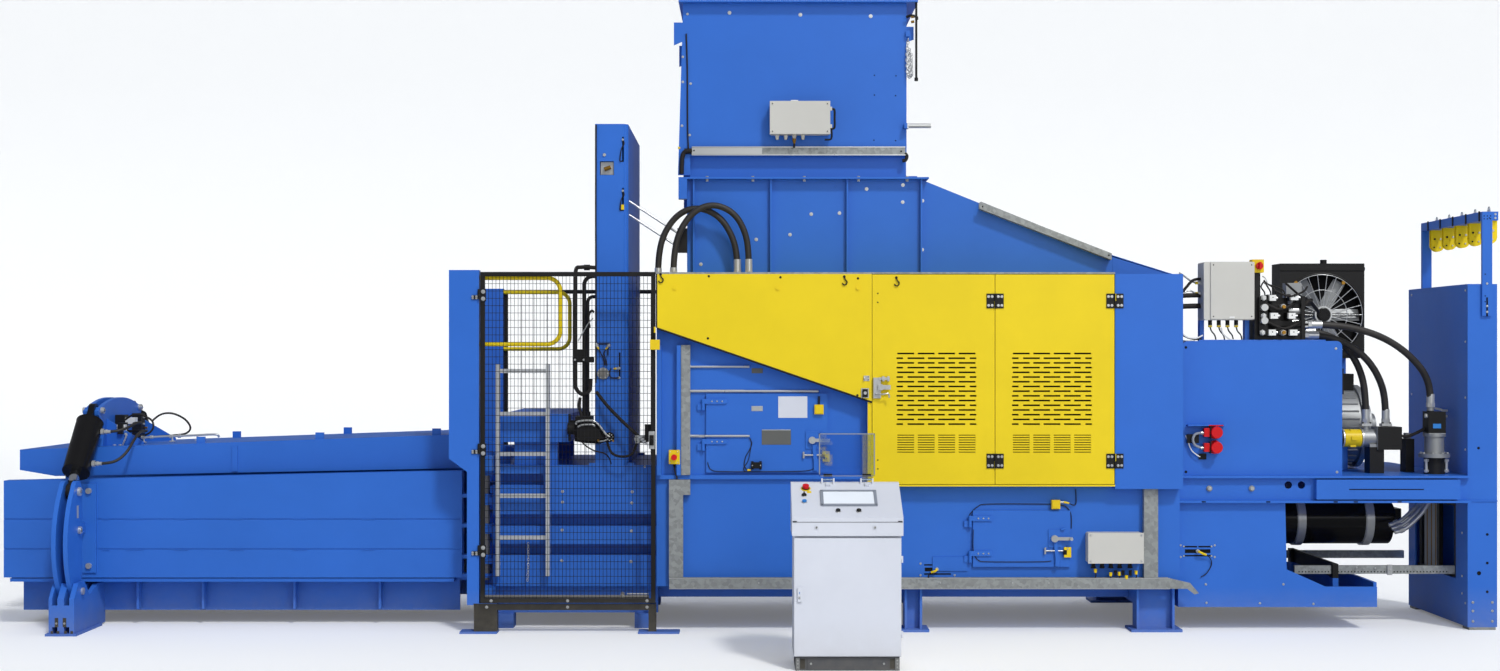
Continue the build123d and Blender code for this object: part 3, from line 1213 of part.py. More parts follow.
with BuildPart() as console_stop:
    add(control(button_places["console_stop"], 20, 16, 9))
console_stop.part.label = "console_stop"
with BuildPart() as console_switch:
    add(control(button_places["console_switch"], 15, 8, 1))
    place = button_places["console_switch"]
    with BuildSketch(desk_plane.offset(8)) as handle:
        with Locations((place[0], place[1])):
            Rectangle(8, 28)
    extrude(handle.sketch, amount=14)
console_switch.part.label = "console_switch"
with BuildPart() as console_button_blue:
    add(control(button_places["console_button_blue"], 14, 7, 6))
console_button_blue.part.label = "console_button_blue"
with BuildPart() as console_button_left:
    add(control(button_places["console_button_left"], 14, 7, 6))
console_button_left.part.label = "console_button_left"
with BuildPart() as console_button_right:
    add(control(button_places["console_button_right"], 14, 7, 6))
console_button_right.part.label = "console_button_right"

# Clear cover over the screen, resting open
cover_hinge = desk_plane.location.position + desk_slope.normalized() * 395
cover_pin = Vector(0, cover_hinge.Y, cover_hinge.Z + 22)
cover_x0 = 425
cover_x1 = 770
cover_low = cover_pin.Z + 20
cover_high = cover_pin.Z + 285
with BuildPart() as console_cover:
    block(cover_x0, cover_x1, cover_pin.Y - 4, cover_pin.Y + 4, cover_low, cover_high)
    for x0, x1 in ((cover_x0, cover_x0 + 8), (cover_x1 - 8, cover_x1)):
        block(x0, x1, cover_pin.Y - 12, cover_pin.Y - 2, cover_low, cover_high)
    block(cover_x0, cover_x1, cover_pin.Y - 12, cover_pin.Y - 2, cover_high - 8, cover_high)
    for foot_x in cover_feet:
        bar((foot_x - 29, cover_pin.Y, cover_pin.Z), (foot_x + 29, cover_pin.Y, cover_pin.Z), 7)
        block(foot_x - 29, foot_x + 29, cover_pin.Y - 4, cover_pin.Y + 4, cover_pin.Z,
              cover_low + 3)
        bar((foot_x - 30, cover_pin.Y, cover_pin.Z), (foot_x + 30, cover_pin.Y, cover_pin.Z),
            3 + seat_gap, mode=Mode.SUBTRACT)
console_cover.part.label = "console_cover"
with BuildPart() as console_hinged:
    add(console_body.part)
    for foot_x in cover_feet:
        for side in (-1, 1):
            x0, x1 = sorted((foot_x + side * 31, foot_x + side * 41))
            end_plate([(cover_pin.Y - 16, cover_pin.Z - 60), (cover_pin.Y - 10, cover_pin.Z + 8),
                       (cover_pin.Y + 10, cover_pin.Z + 8), (cover_pin.Y + 16, cover_pin.Z - 60)],
                      x0, x1)
        bar((foot_x - 40, cover_pin.Y, cover_pin.Z), (foot_x + 40, cover_pin.Y, cover_pin.Z), 3)
    for knuckle_z in door_knuckles:
        block(console_x1, console_x1 + 6, door_pin_y, door_pin_y + 40, knuckle_z - 20, knuckle_z)
        bar((door_pin_x, door_pin_y, knuckle_z - 20), (door_pin_x, door_pin_y, knuckle_z), 6)
console_hinged.part.label = "console_body"

# Door of the console, hinged on its right edge
console_door_top = 800
with BuildPart() as console_door:
    block(console_x0 + 3, console_x1 - 3, console_front + 2, door_skin - seat_gap, 92,
          console_door_top)
    for knuckle_z in door_knuckles:
        block(console_x1 - 4, door_pin_x - 2, door_pin_y - 5, door_pin_y + 4,
              knuckle_z + seat_gap, knuckle_z + 20)
        bar((door_pin_x, door_pin_y, knuckle_z + seat_gap),
            (door_pin_x, door_pin_y, knuckle_z + 20), 6)
    block(console_x0 + 22, console_x0 + 44, console_front - 8, console_front + 4, 420, 500)
console_door.part.label = "console_door"

# Stop button on the left post and the isolator knob
with BuildPart() as frame_stop:
    bar((stop_x, skin_y - 86, stop_z), (stop_x, skin_y - 112, stop_z), 20)
    bar((stop_x, skin_y - 54, stop_z), (stop_x, skin_y - 88, stop_z), stop_stem)
frame_stop.part.label = "frame_stop"
with BuildPart() as isolator:
    bar((isolator_x, -760 - seat_gap, isolator_z), (isolator_x, -786, isolator_z), 24)
    block(isolator_x - 7, isolator_x + 7, -806, -784, isolator_z - 26, isolator_z + 26)
isolator.part.label = "isolator_knob"

# Hoses: each runs straight between tangent arcs from fitting to fitting
cover_top = hood_top + 12
hood_hose_paths = (
    [(-640, -620, cover_top), (-640, -620, 2580), (-600, -622, 2750), (-490, -625, 2890),
     (-350, -628, 2925), (-210, -630, 2860), (-125, -630, 2730), (-88, -630, 2590),
     (-88, -630, cover_top)],
    [(-530, -690, cover_top), (-530, -690, 2580), (-492, -688, 2755), (-385, -682, 2900),
     (-245, -675, 2945), (-105, -668, 2880), (-30, -664, 2745), (-8, -660, 2600),
     (-8, -660, cover_top)],
)
hood_hoses = Compound(label="hood_hoses", children=[
    hose("hood_hose", path, 22) for path in hood_hose_paths])
pump_hose_paths = (
    [(3860, -700, 2105), (3990, -700, 2105), (4170, -698, 2085), (4345, -692, 2035),
     (4490, -680, 1960), (4610, -660, 1865), (4700, -632, 1765), (4750, -600, 1650),
     (4750, -600, 1530)],
    [(3860, -540, 2060), (3970, -540, 2060), (4130, -535, 2000), (4240, -525, 1880),
     (4305, -510, 1740), (4330, -500, 1580), (4330, -500, 1420)],
    [(3860, -620, 2030), (3980, -620, 2030), (4150, -612, 1985), (4300, -590, 1880),
     (4400, -560, 1750), (4470, -500, 1590), (4470, -500, 1420)],
)
pump_hoses = Compound(label="pump_hoses", children=[
    hose("pump_hose", path, 24) for path in pump_hose_paths])
clamp_port = clamp_start + clamp_line.normalized() * 190
clamp_port_low = clamp_start + clamp_line.normalized() * 470
port_face = clamp_mid + 118
block_face = clamp_x1 + 70
clamp_hose_paths = (
    [(port_face, clamp_port.Y, clamp_port.Z), (-4470, clamp_port.Y, clamp_port.Z),
     (-4400, -510, 1370), (-4370, -430, 1395), (-4365, -330, 1410), (-4370, -235, 1410),
     (-4395, -155, 1405), (-4450, -105, 1400), (block_face, -105, 1400)],
    [(port_face, clamp_port_low.Y, clamp_port_low.Z), (-4460, clamp_port_low.Y, clamp_port_low.Z),
     (-4380, -705, 1160), (-4330, -650, 1220), (-4315, -570, 1290), (-4315, -475, 1335),
     (-4320, -370, 1350), (-4325, -265, 1350), (-4345, -165, 1348), (-4400, -90, 1342),
     (-4462, -65, 1340), (block_face, -65, 1340)],
)
clamp_hoses = Compound(label="clamp_hoses", children=[
    hose("clamp_hose", path, 10) for path in clamp_hose_paths])

# Writing every piece at its place in the shared frame
pieces = (
    channel_floor_part.part, wall_front.part, wall_back.part, lid.part, lever_front.part,
    lever_back.part, barrel_front.part, barrel_back.part, rod_front.part, rod_back.part,
    tie_frame, frame_front, frame_back, press_channel.part,
    feed_shaft, flap, pre_barrel.part, pre_rod_part.part, hopper.part, hood_panel.part,
    hood_column.part, hood_door_left.part, hood_door_right.part, chamber_door.part,
    ram_door.part, chamber_latch.part, ram_latch.part, press_ram.part, main_rod.part,
    main_cylinder.part, mast.part, needles.part, guard_door, fixed_guards.part, ladder,
    tying_unit, power_deck.part, tank.part, valves.part, boxes.part, cable_ducts,
    cooler.part, fan.part, pumps.part, coupling.part, cabinet.part, wire_pulleys,
    console_hinged.part, console_stop.part, console_switch.part, console_button_blue.part,
    console_button_left.part, console_button_right.part, console_cover.part,
    console_door.part, frame_stop.part, isolator.part, hood_hoses, pump_hoses, clamp_hoses,
)
for piece in pieces:
    placed = piece.moved(Location((0, line_y, 0)))
    placed.label = piece.label
    export_step(placed, f"parts/{piece.label}.step")
print("pieces", len(pieces))
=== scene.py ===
import bmesh
import bpy
import math
from mathutils import Matrix, Vector


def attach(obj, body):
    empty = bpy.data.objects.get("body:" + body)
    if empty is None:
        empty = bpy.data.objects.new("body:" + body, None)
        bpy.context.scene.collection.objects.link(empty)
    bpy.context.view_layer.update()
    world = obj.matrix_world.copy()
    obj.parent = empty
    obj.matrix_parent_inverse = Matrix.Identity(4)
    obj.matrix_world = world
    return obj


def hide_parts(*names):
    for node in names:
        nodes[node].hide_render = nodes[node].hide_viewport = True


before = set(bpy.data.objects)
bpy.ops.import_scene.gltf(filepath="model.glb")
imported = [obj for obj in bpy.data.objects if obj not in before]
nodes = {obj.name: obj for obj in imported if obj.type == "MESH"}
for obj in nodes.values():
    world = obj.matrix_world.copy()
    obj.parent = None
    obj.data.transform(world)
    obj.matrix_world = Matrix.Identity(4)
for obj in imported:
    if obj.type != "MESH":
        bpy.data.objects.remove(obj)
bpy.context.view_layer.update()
scene = bpy.context.scene
lineY = 710  # mm from the frame's middle to the bale channel's centreline
print("frame loaded:", len(nodes), "nodes")


def toMetres(point):
    # everything below is drawn in mm from the bale channel's centreline
    return Vector((point[0] / 1000, (point[1] + lineY) / 1000, point[2] / 1000))


def linear(hexValue):
    # sRGB hex to linear, with alpha
    channels = [int(hexValue[i:i + 2], 16) / 255 for i in (1, 3, 5)]
    return (*[c / 12.92 if c <= 0.04045 else ((c + 0.055) / 1.055) ** 2.4 for c in channels], 1)


def firstOut(node):
    return next(s for s in node.outputs if s.enabled)


def addNode(tree, kind, **given):
    # small names are settings, capital ones sockets without their spaces, "in2" a socket by its place;
    # a node is linked by its first live output, a list joins several
    node = tree.nodes.new(kind)
    sockets = {name: value for name, value in given.items() if name[0].isupper() or name[:2] == "in"}
    for name, value in given.items():
        if name not in sockets:
            setattr(node, name, value)
    for name, value in sockets.items():
        if name[:2] == "in":
            target = node.inputs[int(name[2:])]
        else:
            target = next(s for s in node.inputs if s.name.replace(" ", "") == name and s.enabled)
        for source in value if isinstance(value, list) else [value]:
            if isinstance(source, bpy.types.Node):
                source = firstOut(source)
            if isinstance(source, bpy.types.NodeSocket):
                tree.links.new(source, target)
            else:
                target.default_value = source
    return node


def clearTree(holder):
    holder.use_nodes = True
    holder.node_tree.nodes.clear()
    return holder.node_tree


def addObject(name, data):
    made = bpy.data.objects.new(name, data)
    scene.collection.objects.link(made)
    return made


# The camera stands in front of the press at eye height and looks level
camera = {"place": (0, -13.240, 1.901), "lens": 45.9, "shiftY": 0.0123}
eye = addObject("camera", bpy.data.cameras.new("camera"))
eye.location = camera["place"]
eye.rotation_euler = (math.radians(90), 0, 0)
eye.data.lens = camera["lens"]
eye.data.sensor_width = 36
eye.data.shift_y = camera["shiftY"]
eye.data.clip_end = 300
scene.camera = eye
scene.view_settings.view_transform = "Standard"

# Soft daylight studio: one wide sun from the upper right, a big front panel and a pale room
studio = {"room": "#FFFFFF", "roomTint": "#E9F0FF", "roomLight": (0.34, 0.66), "mirrored": 0.24,
          "sunPower": 1.55, "sunSpread": 7, "sunFrom": (0.42, -0.85, 1.0), "panelPower": 400,
          "panelPlace": (5, -13, 7), "panelAim": (0, 0.7, 1.6), "panelSize": 9, "floor": "#F1F1EF",
          "floorMirrored": "#7E7F80", "floorGlow": 0.16, "floorReach": (90, -90, 22), "floorBend": 8,
          "wallHeight": 40}


def makeStudio():
    world = bpy.data.worlds.new("room")
    scene.world = world
    tree = clearTree(world)
    ray = addNode(tree, "ShaderNodeLightPath").outputs
    seen = addNode(tree, "ShaderNodeMath", operation="MAXIMUM", in0=ray["Is Camera Ray"],
                   in1=ray["Is Transmission Ray"])
    toward = addNode(tree, "ShaderNodeSeparateXYZ", in0=addNode(tree, "ShaderNodeTexCoord"))
    power = addNode(tree, "ShaderNodeMapRange", Value=toward, FromMin=-1.0, FromMax=1.0,
                    ToMin=studio["roomLight"][0], ToMax=studio["roomLight"][1])
    power = addNode(tree, "ShaderNodeMix", Factor=ray["Is Glossy Ray"], A=power, B=studio["mirrored"])
    lit = addNode(tree, "ShaderNodeBackground", Color=linear(studio["roomTint"]), Strength=power)
    bare = addNode(tree, "ShaderNodeBackground", Color=linear(studio["room"]), Strength=1)
    mixed = addNode(tree, "ShaderNodeMixShader", in0=seen, in1=lit, in2=bare)
    addNode(tree, "ShaderNodeOutputWorld", Surface=mixed)

    sun = bpy.data.lights.new("sun", "SUN")
    sun.energy = studio["sunPower"]
    sun.angle = math.radians(studio["sunSpread"])
    panel = bpy.data.lights.new("panel", "AREA")
    panel.energy = studio["panelPower"]
    panel.size = studio["panelSize"]
    aim = Vector(studio["panelPlace"]) - Vector(studio["panelAim"])
    for lamp, place, way in ((sun, (0, 0, 0), Vector(studio["sunFrom"])),
                             (panel, studio["panelPlace"], aim)):
        held = addObject(lamp.name, lamp)
        held.location = place
        held.rotation_mode = "QUATERNION"
        held.rotation_quaternion = way.to_track_quat("Z", "Y")

    shape = bmesh.new()
    wide, near, far = studio["floorReach"]
    bend = studio["floorBend"]
    turns = [math.radians(9 * i) for i in range(1, 11)]
    profile = [(near, 0), (far, 0)] + [(far + bend * math.sin(a), bend - bend * math.cos(a)) for a in turns]
    profile += [(far + bend, studio["wallHeight"])]
    lines = [[shape.verts.new((x, y, z)) for y, z in profile] for x in (-wide, wide)]
    for i in range(len(profile) - 1):
        shape.faces.new((lines[0][i], lines[1][i], lines[1][i + 1], lines[0][i + 1]))
    mesh = bpy.data.meshes.new("floor")
    shape.to_mesh(mesh)
    mesh.shade_smooth()
    floor = addObject("floor", mesh)
    material = bpy.data.materials.new("paleStudioFloor")
    tree = clearTree(material)
    coat = addNode(tree, "ShaderNodeBsdfDiffuse", Color=linear(studio["floor"]))
    ray = addNode(tree, "ShaderNodeLightPath").outputs
    glow = addNode(tree, "ShaderNodeEmission", Color=linear(studio["floor"]), Strength=studio["floorGlow"])
    both = addNode(tree, "ShaderNodeAddShader", in0=coat, in1=glow)
    mixed = addNode(tree, "ShaderNodeMixShader", in0=ray["Is Camera Ray"], in1=coat, in2=both)
    dim = addNode(tree, "ShaderNodeBsdfDiffuse", Color=linear(studio["floorMirrored"]))
    mixed = addNode(tree, "ShaderNodeMixShader", in0=ray["Is Glossy Ray"], in1=mixed, in2=dim)
    addNode(tree, "ShaderNodeOutputMaterial", Surface=mixed)
    mesh.materials.append(material)


makeStudio()
print("studio ready")

# Finishes: colour, metallic, roughness, spangle, ripple. Each is named for what the real surface is, except
# two that are painted light: the near black painted shade fill and the near white painted screen light.
finishes = {
    "bluePowderCoat": ("#2F6AC6", 0.0, 0.38, 0.0, 1.0),      # smooth polyester powder, half gloss
    "yellowPowderCoat": ("#E9CC14", 0.0, 0.40, 0.0, 1.0),    # the same coat on thin folded sheet
    "blackPowderCoat": ("#1F1E1D", 0.0, 0.45, 0.0, 1.0),     # hinges, guard frame, radiator
    "blackGlossPaint": ("#141313", 0.0, 0.20, 0.0, 0.5),     # sprayed cylinder barrels, wet gloss
    "galvanisedSheet": ("#9EA19F", 0.45, 0.50, 1.0, 0.2),    # zinc spangle, dull silver
    "drawnAluminium": ("#D6D8D9", 0.45, 0.36, 0.0, 0.2),     # ladder profiles, soft shine
    "castAluminium": ("#A9ABAB", 0.75, 0.52, 0.0, 2.0),      # pump bells, sandy skin
    "groundSteel": ("#97948E", 0.55, 0.36, 0.0, 0.4),        # worn ram plates and needles
    "zincPlatedSteel": ("#D4D5D3", 0.65, 0.30, 0.0, 0.2),    # bolts, fittings and pipes, bright
    "hardChrome": ("#DADCDD", 1.0, 0.10, 0.0, 0.0),          # piston rods, mirror bright
    "blackRubber": ("#272422", 0.0, 0.62, 0.0, 0.6),         # seals and edge strip, dull
    "greyEnclosure": ("#C7C5BD", 0.0, 0.50, 0.0, 0.8),       # light grey sheet boxes
    "whiteEnclosure": ("#D3D6DE", 0.0, 0.46, 0.0, 0.8),      # console, cool white powder
    "darkPlinth": ("#3A3F49", 0.0, 0.55, 0.0, 0.6),          # console base
    "redPlastic": ("#C90F17", 0.0, 0.34, 0.0, 0.0),          # moulded sockets and stop heads
    "yellowPlastic": ("#E6C518", 0.0, 0.38, 0.0, 0.0),       # moulded covers and tags
    "blackPlastic": ("#191919", 0.0, 0.42, 0.0, 0.2),        # glands, coils and plugs
    "whitePlastic": ("#E4E4E0", 0.0, 0.40, 0.0, 0.0),        # coil housings
    "bluePlastic": ("#2E7BC4", 0.0, 0.35, 0.0, 0.0),         # reset button
    "brassBody": ("#B98A3A", 0.9, 0.34, 0.0, 0.4),           # cable gland bodies
    "paintedShadeFill": ("#0D0D0E", 0.0, 0.85, 0.0, 0.0),            # painted shade: near black fill for holes, slots, gaps and openings
    "blankPlate": ("#B9BBBA", 0.4, 0.42, 0.0, 0.1),          # bare metal plates
    "greyBlank": ("#6B6C68", 0.3, 0.45, 0.0, 0.3),           # etched grey plates
    "greyRubber": ("#8A909A", 0.0, 0.50, 0.0, 0.2),          # screen surround, cover frame
    "paintedScreenLight": ("#EEF3F8", 0.0, 0.14, 0.0, 0.0),         # painted light: near white colour in place of the lit blank screen's brightness
}
# short names of the finishes, in the same order
(blue, yellow, black, gloss, sheet, drawn, cast, steel, zinc, chrome, rubber, grey, white,
 plinth, red, tag, plug, coil, button, brass, shadeFill, blank, etched, trim, screenLight) = finishes
pattern = {"cloudPerMetre": 1.3, "cloudDepth": 0.05, "peelPerMetre": 130, "peelHeight": 0.00022,
           "spanglePerMetre": 45, "spangleDepth": 0.34, "wavePerMetre": 1.7, "waveHeight": 0.0022,
           "dust": "#A29A88", "dustTop": 0.30, "dustMost": 0.42, "gritPerMetre": 9.0, "gritRough": 0.12,
           "sheen": 0.28}


def boxMask(tree, place, low, high):
    # 1 inside the box, 0 outside
    low, high = toMetres(low), toMetres(high)
    away = addNode(tree, "ShaderNodeVectorMath", operation="SUBTRACT", in0=place, in1=(low + high) / 2)
    away = addNode(tree, "ShaderNodeVectorMath", operation="ABSOLUTE", in0=away)
    away = addNode(tree, "ShaderNodeVectorMath", operation="DIVIDE", in0=away, in1=(high - low) / 2)
    parts = addNode(tree, "ShaderNodeSeparateXYZ", in0=away).outputs
    most = addNode(tree, "ShaderNodeMath", operation="MAXIMUM", in0=parts[0], in1=parts[1])
    most = addNode(tree, "ShaderNodeMath", operation="MAXIMUM", in0=most, in1=parts[2])
    return addNode(tree, "ShaderNodeMath", operation="LESS_THAN", in0=most, in1=1.0)


def surface(name, base, regions=()):
    # a coat with its regions, soft clouding, spangle, dust low down and orange peel
    hexValue, metal, rough, spangle, ripple = finishes[base]
    material = bpy.data.materials.new(name)
    tree = clearTree(material)
    place = addNode(tree, "ShaderNodeTexCoord").outputs["Object"]
    tone = addNode(tree, "ShaderNodeMix", data_type="RGBA", Factor=0.0, A=linear(hexValue),
                   B=linear(hexValue))
    traits = addNode(tree, "ShaderNodeCombineXYZ", X=metal, Y=rough, Z=spangle)
    for other, x0, x1, y0, y1, z0, z1 in regions:
        mask = boxMask(tree, place, (x0, y0, z0), (x1, y1, z1))
        tone = addNode(tree, "ShaderNodeMix", data_type="RGBA", Factor=mask, A=tone,
                       B=linear(finishes[other][0]))
        traits = addNode(tree, "ShaderNodeMix", data_type="VECTOR", Factor=mask, A=traits,
                         B=finishes[other][1:4])
    traits = addNode(tree, "ShaderNodeSeparateXYZ", in0=traits).outputs
    cloud = addNode(tree, "ShaderNodeTexNoise", Vector=place, Scale=pattern["cloudPerMetre"], Detail=5.0,
                    Roughness=0.6)
    shade = addNode(tree, "ShaderNodeMapRange", Value=cloud, FromMin=0.3, FromMax=0.7,
                    ToMin=1 - pattern["cloudDepth"], ToMax=1 + pattern["cloudDepth"])
    cells = addNode(tree, "ShaderNodeTexVoronoi", Vector=place, Scale=pattern["spanglePerMetre"])
    flake = addNode(tree, "ShaderNodeSeparateColor", Color=cells.outputs["Color"])
    flake = addNode(tree, "ShaderNodeMath", operation="MULTIPLY_ADD", in0=flake, in1=pattern["spangleDepth"],
                    in2=-pattern["spangleDepth"] / 2)
    flake = addNode(tree, "ShaderNodeMath", operation="MULTIPLY", in0=flake, in1=traits[2])
    shade = addNode(tree, "ShaderNodeMath", operation="ADD", in0=shade, in1=flake)
    tone = addNode(tree, "ShaderNodeVectorMath", operation="SCALE", in0=tone, Scale=shade)
    height = addNode(tree, "ShaderNodeSeparateXYZ", in0=place).outputs[2]
    low = addNode(tree, "ShaderNodeMapRange", Value=height, FromMin=0.0, FromMax=pattern["dustTop"],
                  ToMin=pattern["dustMost"], ToMax=0.0)
    grit = addNode(tree, "ShaderNodeTexNoise", Vector=place, Scale=pattern["gritPerMetre"], Detail=6.0,
                   Roughness=0.7)
    low = addNode(tree, "ShaderNodeMath", operation="MULTIPLY", in0=low, in1=grit)
    tone = addNode(tree, "ShaderNodeMix", data_type="RGBA", Factor=low, A=tone, B=linear(pattern["dust"]))
    rough = addNode(tree, "ShaderNodeMath", operation="MULTIPLY_ADD", in0=grit, in1=pattern["gritRough"],
                    in2=traits[1])
    rough = addNode(tree, "ShaderNodeMath", operation="SUBTRACT", in0=rough, in1=pattern["gritRough"] / 2)
    peel = addNode(tree, "ShaderNodeTexNoise", Vector=place, Scale=pattern["peelPerMetre"], Detail=2.0)
    wave = addNode(tree, "ShaderNodeTexNoise", Vector=place, Scale=pattern["wavePerMetre"], Detail=1.0)
    fine = addNode(tree, "ShaderNodeBump", Strength=min(ripple, 1.0),
                   Distance=pattern["peelHeight"] * max(ripple, 1), Height=peel)
    bumped = addNode(tree, "ShaderNodeBump", Strength=0.6, Distance=pattern["waveHeight"], Height=wave,
                     Normal=fine)
    skin = addNode(tree, "ShaderNodeBsdfPrincipled", BaseColor=tone, Metallic=traits[0], Roughness=rough,
                   SpecularIORLevel=pattern["sheen"], Normal=bumped)
    addNode(tree, "ShaderNodeOutputMaterial", Surface=skin)
    return material


plain = {}


def finish(name):
    if name not in plain:
        plain[name] = surface(name, name)
    return plain[name]


# What each CAD node is finished in, then the boxes of it (mm) that have another finish
nodeFinish = {
    "channel_floor": (blue,
                      *[(zinc, x, x + 18, y, y + 60, 255, 315) for y in (-945, 885) for x in (-4745, -4553)],
                      (steel, -5190, -1700, -560, 560, 336, 345)),
    "channel_wall_front": (blue, (zinc, -4620, -4560, -700, -664.5, 400, 980)),
    "channel_wall_back": (blue, (zinc, -4620, -4560, 664.5, 700, 400, 980)),
    "channel_lid": (blue, (black, -4589, -4518, -132, -38, 1298, 1462),
                    (black, -4589, -4518, 248, 342, 1298, 1462),
                    (zinc, -4720, -4700.5, -450, 450, 1470, 1530),
                    (zinc, -4589.5, -4570, -450, -390, 1470, 1530),
                    (zinc, -4589.5, -4570, 390, 450, 1470, 1530)),
    "clamp_lever_front": (blue, (zinc, -4720, -4700.5, -930, -830, 600, 1010),
                          (zinc, -4589.5, -4570, -930, -830, 600, 1010)),
    "clamp_lever_back": (blue, (zinc, -4720, -4700.5, 830, 930, 600, 1010),
                         (zinc, -4589.5, -4570, 830, 930, 600, 1010)),
    "clamp_rod_front": (chrome, (black, -4700, -4600, -950, -815, 880, 1035)),
    "clamp_rod_back": (chrome, (black, -4700, -4600, 815, 950, 880, 1035)),
    "tie_frame": (blue, (black, -1880, -1717, -952, -868, 14.5, 204),
                  (black, -693, -637, -952, -868, 14.5, 202),
                  (black, -1844, -637, -952, -908, 158, 202), (black, -1900, -1820, -975, -950.2, 200, 2400),
                  (steel, -1862, -1810, -626, -574, 320, 1100), (steel, -1862, -1810, 574, 626, 320, 1100),
                  (steel, -1790, -640, -549, 549, 338, 1091), (zinc, -2010, -1990, -480, 480, 1165, 1235)),
    "frame_front": (blue, (tag, -555, -478, -918, -850.5, 1148, 1247),
                    (zinc, -404, -36, -868, -850.5, 1639, 1657),
                    (zinc, -404, -306, -868, -850.5, 1330, 1348)),
    "frame_back": (blue, (sheet, -645, 2550, 515, 852, 2445.5, 2460)),
    "press_channel": (blue, (steel, -640, 2900, -549, 549, 338, 1091)),
    "hopper": (blue, (zinc, 1100.5, 1270, -580, -540, 3478, 3518),
               (black, 1150, 1178, -575, -545, 3820, 4362)),
    "hood_panel": (yellow, (sheet, -645, 2490, -951, -865, 2444.5, 2460),
                   (blue, -640, 2490, -941, -845, 990, 2445),
                   (yellow, 829.5, 2453, -951, -845, 995, 1014)),
    "hood_column": (blue, (black, 2470, 2560, -970, -950.2, 1100, 2330)),
    "hood_door_left": (yellow, (black, 1600, 1680, -970, -950.2, 1100, 2330),
                       (zinc, 835, 960, -1000, -950.2, 1590, 1750)),
    "hood_door_right": (yellow, (black, 1660, 1740, -970, -950.2, 1100, 2330),
                        (black, 2410, 2482, -970, -950.2, 1100, 2330)),
    "main_cylinder": (gloss, (zinc, 3944, 4008, -200, 200, 500, 905),
                      (zinc, 4437, 4501, -200, 200, 500, 905)),
    "needle_mast": (blue, (zinc, -844, -509, -572, -545, 2600, 3010),
                    (black, -509, -438, -585, -515, 2605, 2785),
                    (black, -1010, -910, 60, 160, 1131, 2170)),
    "fixed_guards": (yellow, (black, -1920, -635, 926, 960, 200, 2405),
                     (black, -705, -635, 845, 940, 200, 2405)),
    "tying_unit": (blue, (black, -1260, -1085, -795, -595, 1296, 1500),
                   (black, -1175, -1076, -705, -600, 1496, 2460),
                   (steel, -1845, -688, -930, -850, 205, 280)),
    "power_deck": (blue, (sheet, 3815, 4945, -545, -495, 355, 420), (sheet, 3815, 4945, 495, 545, 355, 420),
                   (black, 4075, 4125, -565, 565, 331, 432)),
    "oil_tank": (blue, (red, 3140, 3240, -885, -801, 1210, 1415),
                 (black, 4072.5, 4135, -645, -415, 1615, 1805),
                 (plug, 2995, 3085, -832, -801, 1285, 1355), (black, 3830, 3970, -470, -330, 1991, 2005)),
    "valve_block": (black, (tag, 3460, 3548, -765, -675, 2462, 2556),
                    (zinc, 3721, 3832, -800, -500, 2080, 2240),
                    (zinc, 3500, 3640, -845, -801, 2100, 2260)),
    "terminal_boxes": (grey, (plug, 3150, 3390, -750, -710, 2095, 2134.5),
                       (plug, 2310, 2620, -930, -890, 430, 479.5),
                       (plug, 170, 400, -610, -560, 3395, 3434.5),
                       (blue, 3110, 3465, -702, -638, 1985, 2134.5)),
    "oil_cooler": (black, (zinc, 4100, 4240, -62, -19, 2110, 2260),
                   (blue, 3865, 4475, 201, 425, 1060, 1915)),
    "pump_motor": (cast, (black, 4391, 4565, -580, -420, 1200, 1395),
                   (black, 4700, 4850, -700, -500, 1060, 1179),
                   (plug, 4712, 4840, -665, -535, 1351, 1505), (black, 4630, 4710, -430, -290, 1060, 1301),
                   (blue, 3790, 4310, -220, 320, 1060, 1262), (black, 4335, 4445, -565, -435, 1060, 1249),
                   (black, 4070, 4165, -595, -405, 1215, 1405)),
    "wire_cabinet": (blue, (yellow, 5046, 5152, -790, 290, 2655, 2819),
                     (sheet, 4950, 5140, -785, 405, 0, 19)),
    "console_body": (white, (plinth, 255, 915, -2480, -2085, -5, 85)),
}
plainNodes = {
    blue: ("feed_shaft", "chamber_door", "ram_door"), white: ("console_door",), sheet: ("cable_ducts",),
    gloss: ("clamp_barrel_front", "clamp_barrel_back", "prepress_barrel"),
    chrome: ("prepress_rod", "main_rod"),
    steel: ("prepress_flap", "press_ram", "needle_frame"), zinc: ("chamber_latch", "ram_latch"),
    drawn: ("ladder",), cast: ("cooler_fan",), tag: ("pump_coupling", "wire_pulleys"),
    red: ("isolator_knob", "console_stop", "frame_stop"), button: ("console_button_blue",),
    plug: ("console_switch", "console_button_left", "console_button_right")}
for coat, names in plainNodes.items():
    nodeFinish.update({name: (coat,) for name in names})


def clearAcrylic():
    # hinged screen cover: clear cast acrylic sheet, edges catch the light
    material = bpy.data.materials.new("clearAcrylic")
    tree = clearTree(material)
    place = addNode(tree, "ShaderNodeTexCoord").outputs["Object"]
    smear = addNode(tree, "ShaderNodeTexNoise", Vector=place, Scale=14.0, Detail=4.0)
    rough = addNode(tree, "ShaderNodeMapRange", Value=smear, ToMin=0.02, ToMax=0.12)
    pane = addNode(tree, "ShaderNodeBsdfPrincipled", BaseColor=linear("#DCEBF7"), Roughness=rough, IOR=1.49,
                   TransmissionWeight=1.0)
    air = addNode(tree, "ShaderNodeBsdfTransparent", Color=linear("#E6F0F8"))
    mixed = addNode(tree, "ShaderNodeMixShader", in0=0.55, in1=pane, in2=air)
    addNode(tree, "ShaderNodeOutputMaterial", Surface=mixed)
    return material


def dressNodes():
    for name, node in nodes.items():
        if name in nodeFinish:
            base, *regions = nodeFinish[name]
            material = surface(name + "Finish", base, regions)
        elif name == "console_cover":
            material = clearAcrylic()
        else:
            material = finish(rubber)
        node.data.materials.clear()
        node.data.materials.append(material)


